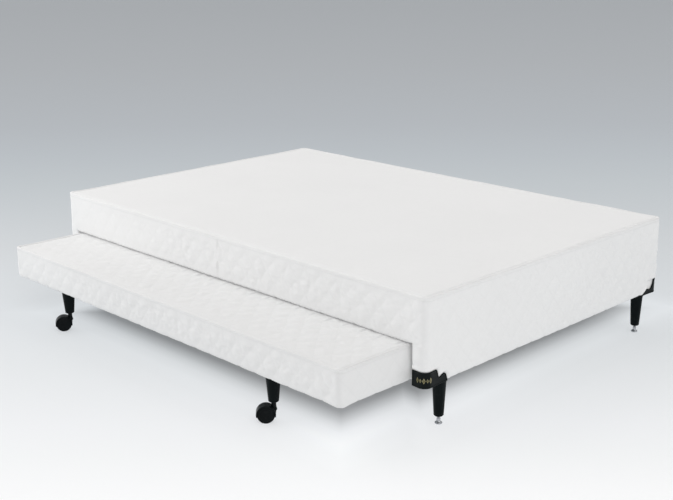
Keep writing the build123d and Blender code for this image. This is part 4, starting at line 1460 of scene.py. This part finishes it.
for k in LEGS:
    LO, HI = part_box(f"leveler_{k}")
    cx, cy = (LO.x + HI.x) / 2, (LO.y + HI.y) / 2
    prof = rounded([(0, 0.0004), (0.0088, 0.0004), (0.0094, 0.0), (0.0105, 0.0), (0.0115, 0.0010), (0.0115, 0.0031), (0.0107, 0.0041), (0.0085, 0.0056),
                    (0.0064, 0.0078), (0.0057, 0.0094), (0.0, 0.0094)], 0.0005, 2)
    ob = lathe(f"glide_{k}", prof, (cx, cy), 72, 40)
    # hexagon nut with chamfered corners, and the threaded shank above it
    bm_v, bm_f = [], []
    rows = [(0.0094, 0.84), (0.0100, 1.0), (0.0158, 1.0), (0.0164, 0.84)]
    for z, s in rows:
        for i in range(48):
            a = 2 * math.pi * i / 48
            flat = 0.0057 / max(math.cos((a % (math.pi / 3)) - math.pi / 6), 0.1)
            bm_v.append((cx + min(flat, 0.0066 * s + 0.0002) * math.cos(a), cy + min(flat, 0.0066 * s + 0.0002) * math.sin(a), z))
    for r in range(3):
        for i in range(48):
            w = (i + 1) % 48
            bm_f.append((r * 48 + i, r * 48 + w, (r + 1) * 48 + w, (r + 1) * 48 + i))
    bm_f += [tuple(range(48))[::-1], tuple(range(144, 192))]
    nut = auto_smooth(make_object(f"glide_nut_{k}", bm_v, bm_f, True), 25)
    # thread: a helix cut into the shank
    tv, tf = [], []
    zt0, zt1, pitch, segs, per = 0.0160, 0.0250, 0.00125, 36, 8
    rows_n = int((zt1 - zt0) / pitch * per)
    for r in range(rows_n + 1):
        z = zt0 + (zt1 - zt0) * r / rows_n
        for i in range(segs):
            a = 2 * math.pi * i / segs
            ph = ((z - zt0) / pitch - i / segs) % 1.0
            rr = 0.0050 - 0.00055 * abs(2 * ph - 1)
            tv.append((cx + rr * math.cos(a), cy + rr * math.sin(a), z))
    for r in range(rows_n):
        for i in range(segs):
            w = (i + 1) % segs
            tf.append((r * segs + i, r * segs + w, (r + 1) * segs + w, (r + 1) * segs + i))
    n0 = len(tv)
    tf += [tuple(range(segs))[::-1]]
    # the part that runs up inside the leg
    for z, rr in ((0.0250, 0.0040), (0.0575, 0.0040), (0.0590, 0.0028)):
        for i in range(segs):
            a = 2 * math.pi * i / segs
            tv.append((cx + rr * math.cos(a), cy + rr * math.sin(a), z))
    last = rows_n * segs
    for a0, b0 in ((last, n0), (n0, n0 + segs), (n0 + segs, n0 + 2 * segs)):
        for i in range(segs):
            w = (i + 1) % segs
            tf.append((a0 + i, a0 + w, b0 + w, b0 + i))
    tf.append(tuple(range(n0 + 2 * segs, n0 + 3 * segs)))
    shank = auto_smooth(make_object(f"glide_shank_{k}", tv, tf), 50)
    for o, m in ((ob, chrome_mat), (nut, zinc_mat), (shank, zinc_mat)):
        paint(o, m)
        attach(o, f"leveler_{k}")
    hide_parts(f"leveler_{k}")


# ---------------------------------------------------------------- casters
def to_caster(V, k):
    """From the caster's own frame (stem up the Z axis, wheels trailing along +X) to the model's."""
    pos, axis = AXLES[k]
    dx, dy = axis.y, -axis.x
    V = np.asarray(V, float)
    ox, oy = pos.x - 0.024 * dx, pos.y - 0.024 * dy
    return np.stack([ox + V[:, 0] * dx - V[:, 1] * dy, oy + V[:, 0] * dy + V[:, 1] * dx, V[:, 2]], 1)


def wheel_mesh(side):
    """One wheel: domed outer face with a ring groove and a capped hub, rounded tread."""
    prof = rounded([(0.0, 0.0040), (0.0085, 0.0040), (0.0090, 0.0052), (0.0230, 0.0052), (0.0237, 0.0040), (0.0261, 0.0040), (0.0275, 0.0054), (0.0275, 0.0116),
                    (0.0270, 0.0136), (0.0250, 0.0151), (0.0224, 0.01570), (0.0210, 0.0158), (0.0206, 0.0150), (0.0196, 0.0150), (0.0192, 0.0158),
                    (0.0130, 0.0161), (0.0070, 0.0162), (0.0064, 0.0154), (0.0056, 0.0154), (0.0052, 0.0160), (0.0, 0.0163)], 0.0006, 2)
    segs = 72
    verts, faces, rows = [], [], []
    for r, w in prof:
        if r < 1e-9:
            rows.append([len(verts)])
            verts.append((0.024, side * w, 0.0275))
            continue
        row = []
        for s in range(segs):
            a = 2 * math.pi * s / segs
            row.append(len(verts))
            verts.append((0.024 + r * math.cos(a), side * w, 0.0275 + r * math.sin(a)))
        rows.append(row)
    for a, b in zip(rows[:-1], rows[1:]):
        for s in range(segs):
            w = (s + 1) % segs
            if len(a) == 1:
                f = (a[0], b[s], b[w])
            elif len(b) == 1:
                f = (a[w], a[s], b[0])
            else:
                f = (a[w], a[s], b[s], b[w])
            faces.append(f if side > 0 else f[::-1])
    return verts, faces


def hood_mesh():
    """The hood: a curved shell over both wheels with rolled rims, a web between the wheels, and a boss for the stem."""
    verts, faces = [], []
    half, ro, ri = 0.0170, 0.0303, 0.0285
    # section across the width, as (y, radius), closed
    sec = []
    n = 7
    for i in range(n + 1):
        a = math.pi / 2 * i / n
        sec.append((half - 0.0026 + 0.0026 * math.sin(a), ro - 0.0026 + 0.0026 * math.cos(a)))
    sec += [(half, ro - 0.0034), (half - 0.0004, ri - 0.0006), (half - 0.0013, ri - 0.0006), (half - 0.0018, ri)]
    sec = [(-y, r) for y, r in sec[::-1]] + sec
    low = math.asin((0.0212 - 0.0275) / ro)
    angles = np.linspace(low, math.pi - low, 73)
    m = len(sec)
    for q, a in enumerate(angles):
        for y, r in sec:
            verts.append((0.024 + r * math.cos(a), y, 0.0275 + r * math.sin(a)))
    # the shell's faces, and its two ends closed
    for q in range(len(angles) - 1):
        for s in range(m):
            e = (s + 1) % m
            faces.append((q * m + s, q * m + e, (q + 1) * m + e, (q + 1) * m + s))
    faces.append(tuple(range(m)))
    faces.append(tuple(range((len(angles) - 1) * m, len(angles) * m))[::-1])

    def block(points, y0, y1, bevel=0.0006):
        """A prism across Y from an outline in (x, z), its two edges chamfered."""
        k = len(points)
        cx, cz = sum(p[0] for p in points) / k, sum(p[1] for p in points) / k
        n0 = len(verts)
        for y, s in ((y0, bevel), (y0 + bevel, 0), (y1 - bevel, 0), (y1, bevel)):
            for x, z in points:
                d = math.hypot(x - cx, z - cz)
                f = 1 - s / d
                verts.append((cx + (x - cx) * f, y, cz + (z - cz) * f))
        for r in range(3):
            for i in range(k):
                j = (i + 1) % k
                faces.append((n0 + r * k + i, n0 + r * k + j, n0 + (r + 1) * k + j, n0 + (r + 1) * k + i))
        faces.append(tuple(range(n0, n0 + k))[::-1])
        faces.append(tuple(range(n0 + 3 * k, n0 + 4 * k)))

    web = [(0.024 + 0.0287 * math.cos(a), 0.0275 + 0.0287 * math.sin(a)) for a in np.linspace(math.asin(-0.014 / 0.0287), math.pi - math.asin(-0.014 / 0.0287), 60)]
    block(web, -0.0031, 0.0031)
    # boss: a turned column that runs down into the hood
    prof = rounded([(0.0, 0.0665), (0.0052, 0.0665), (0.0070, 0.0660), (0.0076, 0.0650), (0.0076, 0.0560), (0.0082, 0.0500), (0.0100, 0.0440), (0.0100, 0.0400), (0.0, 0.0400)], 0.0006, 2)[::-1]
    segs, rows = 48, []
    for r, z in prof:
        if r < 1e-9:
            rows.append([len(verts)])
            verts.append((0.0, 0.0, z))
            continue
        row = []
        for s in range(segs):
            a = 2 * math.pi * s / segs
            row.append(len(verts))
            x, y = r * math.cos(a), r * math.sin(a)
            # it stops where it meets the hood's curve
            zz = z
            reach = math.hypot(x - 0.024, z - 0.0275)
            if z < 0.060 and reach < 0.0289:
                d = ro - 0.0014
                zz = 0.0275 + math.sqrt(max(d * d - (x - 0.024) ** 2, 1e-8)) if abs(x - 0.024) < d else z
                zz = max(z, zz)
            verts.append((x, y, zz))
        rows.append(row)
    for a, b in zip(rows[:-1], rows[1:]):
        for s in range(segs):
            w = (s + 1) % segs
            if len(a) == 1:
                faces.append((a[0], b[w], b[s]))
            elif len(b) == 1:
                faces.append((a[s], a[w], b[0]))
            else:
                faces.append((a[s], a[w], b[w], b[s]))
    # rib from the boss down the back of the hood
    rib = [(-0.0072, 0.056), (-0.0070, 0.032), (-0.0052, 0.024), (-0.0010, 0.0215), (0.003, 0.042), (0.004, 0.056)]
    block(rib[::-1], -0.0030, 0.0030)
    return verts, faces


HOOD = hood_mesh()
WHEELS = (wheel_mesh(1), wheel_mesh(-1))
for k in AXLES:
    hood = auto_smooth(make_object(f"caster_hood_{k}", to_caster(HOOD[0], k), HOOD[1]), 38)
    paint(hood, caster_mat)
    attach(hood, f"caster_{k}")
    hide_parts(f"caster_housing_{k}")
    for i, (v, f) in enumerate(WHEELS):
        w = auto_smooth(make_object(f"caster_wheel_{k}_{i + 1}", to_caster(v, k), f), 32)
        paint(w, wheel_mat)
        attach(w, f"wheels_{k}")
        if i == 0:
            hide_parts(f"caster_wheels_{k}")

# ---------------------------------------------------------------- CAD nodes that stay
for names, mat in (
        (("end_rails",), timber_y), (("back_rails", "front_header_beam"), timber_x), (("frame_posts",), timber_z),
        (("deck_joists", "trundle_slats", "trundle_end_rails"), timber_y), (("trundle_long_rails",), timber_x),
        (("frame_skins", "deck_board", "trundle_board"), hardboard_mat),
        (("guard_screws", "leg_studs", "leg_tee_nuts", "trundle_leg_studs", "trundle_tee_nuts"), zinc_mat),
        (tuple(f"caster_stem_{k}" for k in AXLES) + tuple(f"caster_axle_{k}" for k in AXLES), zinc_mat)):
    for nme in names:
        paint(frame["nodes"][nme], mat)

# ---------------------------------------------------------------- floor and light
H_CAM = cam.location.z


def floor_object():
    n = 40
    me_v, me_f = [], []
    ext = 60.0
    g = np.linspace(-ext, ext, n + 1)
    for x in g:
        for y in g:
            me_v.append((x, y, 0.0))
    for i in range(n):
        for j in range(n):
            a = i * (n + 1) + j
            me_f.append((a, a + n + 1, a + n + 2, a + 1))
    return make_object("studio_floor", me_v, me_f)


FLOOR = floor_object()
# painted shade on the paper sweep, by the steepness of the line of sight: darker far behind the bed, paler in front
TONES = [(5, (164, 168, 172)), (65, (171, 175, 179)), (125, (178, 183, 188)), (155, (184, 190, 195)), (185, (191, 197, 201)),
         (245, (204, 208, 211)), (305, (215, 219, 222)), (365, (225, 228, 230)), (425, (236, 238, 240)), (455, (240, 242, 243)),
         (499, (247, 248, 249))]
GLOW = 0.500                                         # share of the tone that the paper gives off itself


def to_linear(c):
    c /= 255.0
    return c / 12.92 if c <= 0.04045 else ((c + 0.055) / 1.055) ** 2.4


def floor_material():
    m = Mat("paper_sweep", Roughness=0.95, Specular_IOR_Level=0.05)
    tc = m.t.nodes.new("ShaderNodeTexCoord")
    dot = m.t.nodes.new("ShaderNodeVectorMath")
    dot.operation = "DOT_PRODUCT"
    m.link(tc.outputs["Object"], dot.inputs[0])
    f = (-math.sin(AZ), math.cos(AZ), 0.0)
    dot.inputs[1].default_value = f
    off = cam.location.x * f[0] + cam.location.y * f[1]
    s = m.math("MAXIMUM", m.math("SUBTRACT", dot.outputs["Value"], off), 0.6)
    q = m.math("DIVIDE", H_CAM, s)
    ramp = m.t.nodes.new("ShaderNodeValToRGB")
    ramp.color_ramp.interpolation = "LINEAR"
    m.link(m.math("DIVIDE", q, 0.6, clamp=True), ramp.inputs[0])
    els = ramp.color_ramp.elements
    while len(els) > 1:
        els.remove(els[-1])
    for i, (row, c) in enumerate(TONES):
        at = math.tan(EL + math.atan((row - 250) / 1112.355)) / 0.6
        e = els[0] if i == 0 else els.new(at)
        e.position = at
        e.color = (*[to_linear(v) for v in c], 1.0)
    fibre = m.noise(420.0, 3.0)
    lit = m.mix(1.0, ramp.outputs[0], (PAPER, PAPER, PAPER), "MULTIPLY")
    col = m.mix(m.spread(fibre, 0.3, 0.7, 0.0, 0.02), lit, (0.5, 0.5, 0.5))
    m.set("Base Color", col).set("Normal", m.bump(fibre, 0.03, 0.0005))
    # painted light and shadow: the paper's own glow is painted a little brighter just in under the bed's edges and
    # darker deeper in, by the depth in from the edges
    pos = m.t.nodes.new("ShaderNodeSeparateXYZ")
    m.link(tc.outputs["Object"], pos.inputs[0])
    ax = m.math("ABSOLUTE", pos.outputs[0])
    behind = m.math("SUBTRACT", BY1 + 0.30, pos.outputs[1])
    base = m.math("MINIMUM", m.math("SUBTRACT", BX1, ax), m.math("MINIMUM", behind, m.math("SUBTRACT", pos.outputs[1], BY0)))
    low = m.math("MINIMUM", m.math("SUBTRACT", TX1, ax), m.math("MINIMUM", behind, m.math("SUBTRACT", pos.outputs[1], TY0)))
    painted_light_and_shade = m.t.nodes.new("ShaderNodeValToRGB")
    painted_light_and_shade.color_ramp.interpolation = "LINEAR"
    m.link(m.spread(m.math("MAXIMUM", base, low), PAINTED_LIGHT_AND_SHADE_BY_DEPTH[0][0], PAINTED_LIGHT_AND_SHADE_BY_DEPTH[-1][0], 0.0, 1.0), painted_light_and_shade.inputs[0])
    els = painted_light_and_shade.color_ramp.elements
    while len(els) > 1:
        els.remove(els[-1])
    for i, (d, v) in enumerate(PAINTED_LIGHT_AND_SHADE_BY_DEPTH):
        at = (d - PAINTED_LIGHT_AND_SHADE_BY_DEPTH[0][0]) / (PAINTED_LIGHT_AND_SHADE_BY_DEPTH[-1][0] - PAINTED_LIGHT_AND_SHADE_BY_DEPTH[0][0])
        e = els[0] if i == 0 else els.new(at)
        e.position = at
        e.color = (v / DEPTH_TOP, v / DEPTH_TOP, v / DEPTH_TOP, 1.0)
    m.set("Emission Color", m.mix(1.0, ramp.outputs[0], painted_light_and_shade.outputs[0], "MULTIPLY"))
    m.set("Emission Strength", GLOW * DEPTH_TOP)
    return m.mat


PAPER = 0.543
# painted light and shadow on the floor: glow factor by depth in under the bed's edges
PAINTED_LIGHT_AND_SHADE_BY_DEPTH = [(-0.30, 1.0), (-0.08, 1.02), (0.00, 1.10), (0.06, 1.22), (0.11, 1.19), (0.135, 1.06), (0.15, 0.95), (0.17, 0.72), (0.19, 0.52),
          (0.205, 0.36), (0.22, 0.22), (0.25, 0.12), (0.50, 0.08)]
DEPTH_TOP = 1.24
paint(FLOOR, floor_material())

world = bpy.data.worlds.new("studio")
bpy.context.scene.world = world
world.use_nodes = True
bg = world.node_tree.nodes["Background"]
bg.inputs["Color"].default_value = (1.0, 0.99, 0.985, 1.0)
bg.inputs["Strength"].default_value = 0.535


def area_light(name, at, look, size, power, color=(1, 1, 1), size_y=None, shadow=True):
    d = bpy.data.lights.new(name, "AREA")
    d.use_shadow = shadow
    d.shape = "RECTANGLE"
    d.size, d.size_y = size, size_y or size
    d.energy = power
    d.color = color
    o = bpy.data.objects.new(name, d)
    bpy.context.scene.collection.objects.link(o)
    o.location = at
    o.rotation_mode = "QUATERNION"
    o.rotation_quaternion = (Vector(look) - Vector(at)).to_track_quat("-Z", "Y")
    return o


def sun(name, direction, strength, angle, color=(1, 1, 1), shadow=True):
    d = bpy.data.lights.new(name, "SUN")
    d.use_shadow = shadow
    d.energy = strength
    d.angle = math.radians(angle)
    d.color = color
    o = bpy.data.objects.new(name, d)
    bpy.context.scene.collection.objects.link(o)
    o.rotation_mode = "QUATERNION"
    o.rotation_quaternion = Vector(direction).to_track_quat("-Z", "Y")
    return o


WARM = (1.0, 0.985, 0.98)
sun("right_back", (-1.0, 0.4, -0.8), 0.70, 50, WARM)
sun("right_front", (-1.0, -0.7, -0.9), 0.30, 50, WARM)
sun("fill_front", (0.9, 0.8, -0.8), 0.36, 50, WARM, shadow=False)
sun("fill_left", (1.0, 0.2, -0.7), 0.85, 50, WARM, shadow=False)
area_light("near_left", (-2.2, -2.0, 0.9), (-0.6, -0.4, 0.3), 1.0, 12.5, WARM, shadow=False)
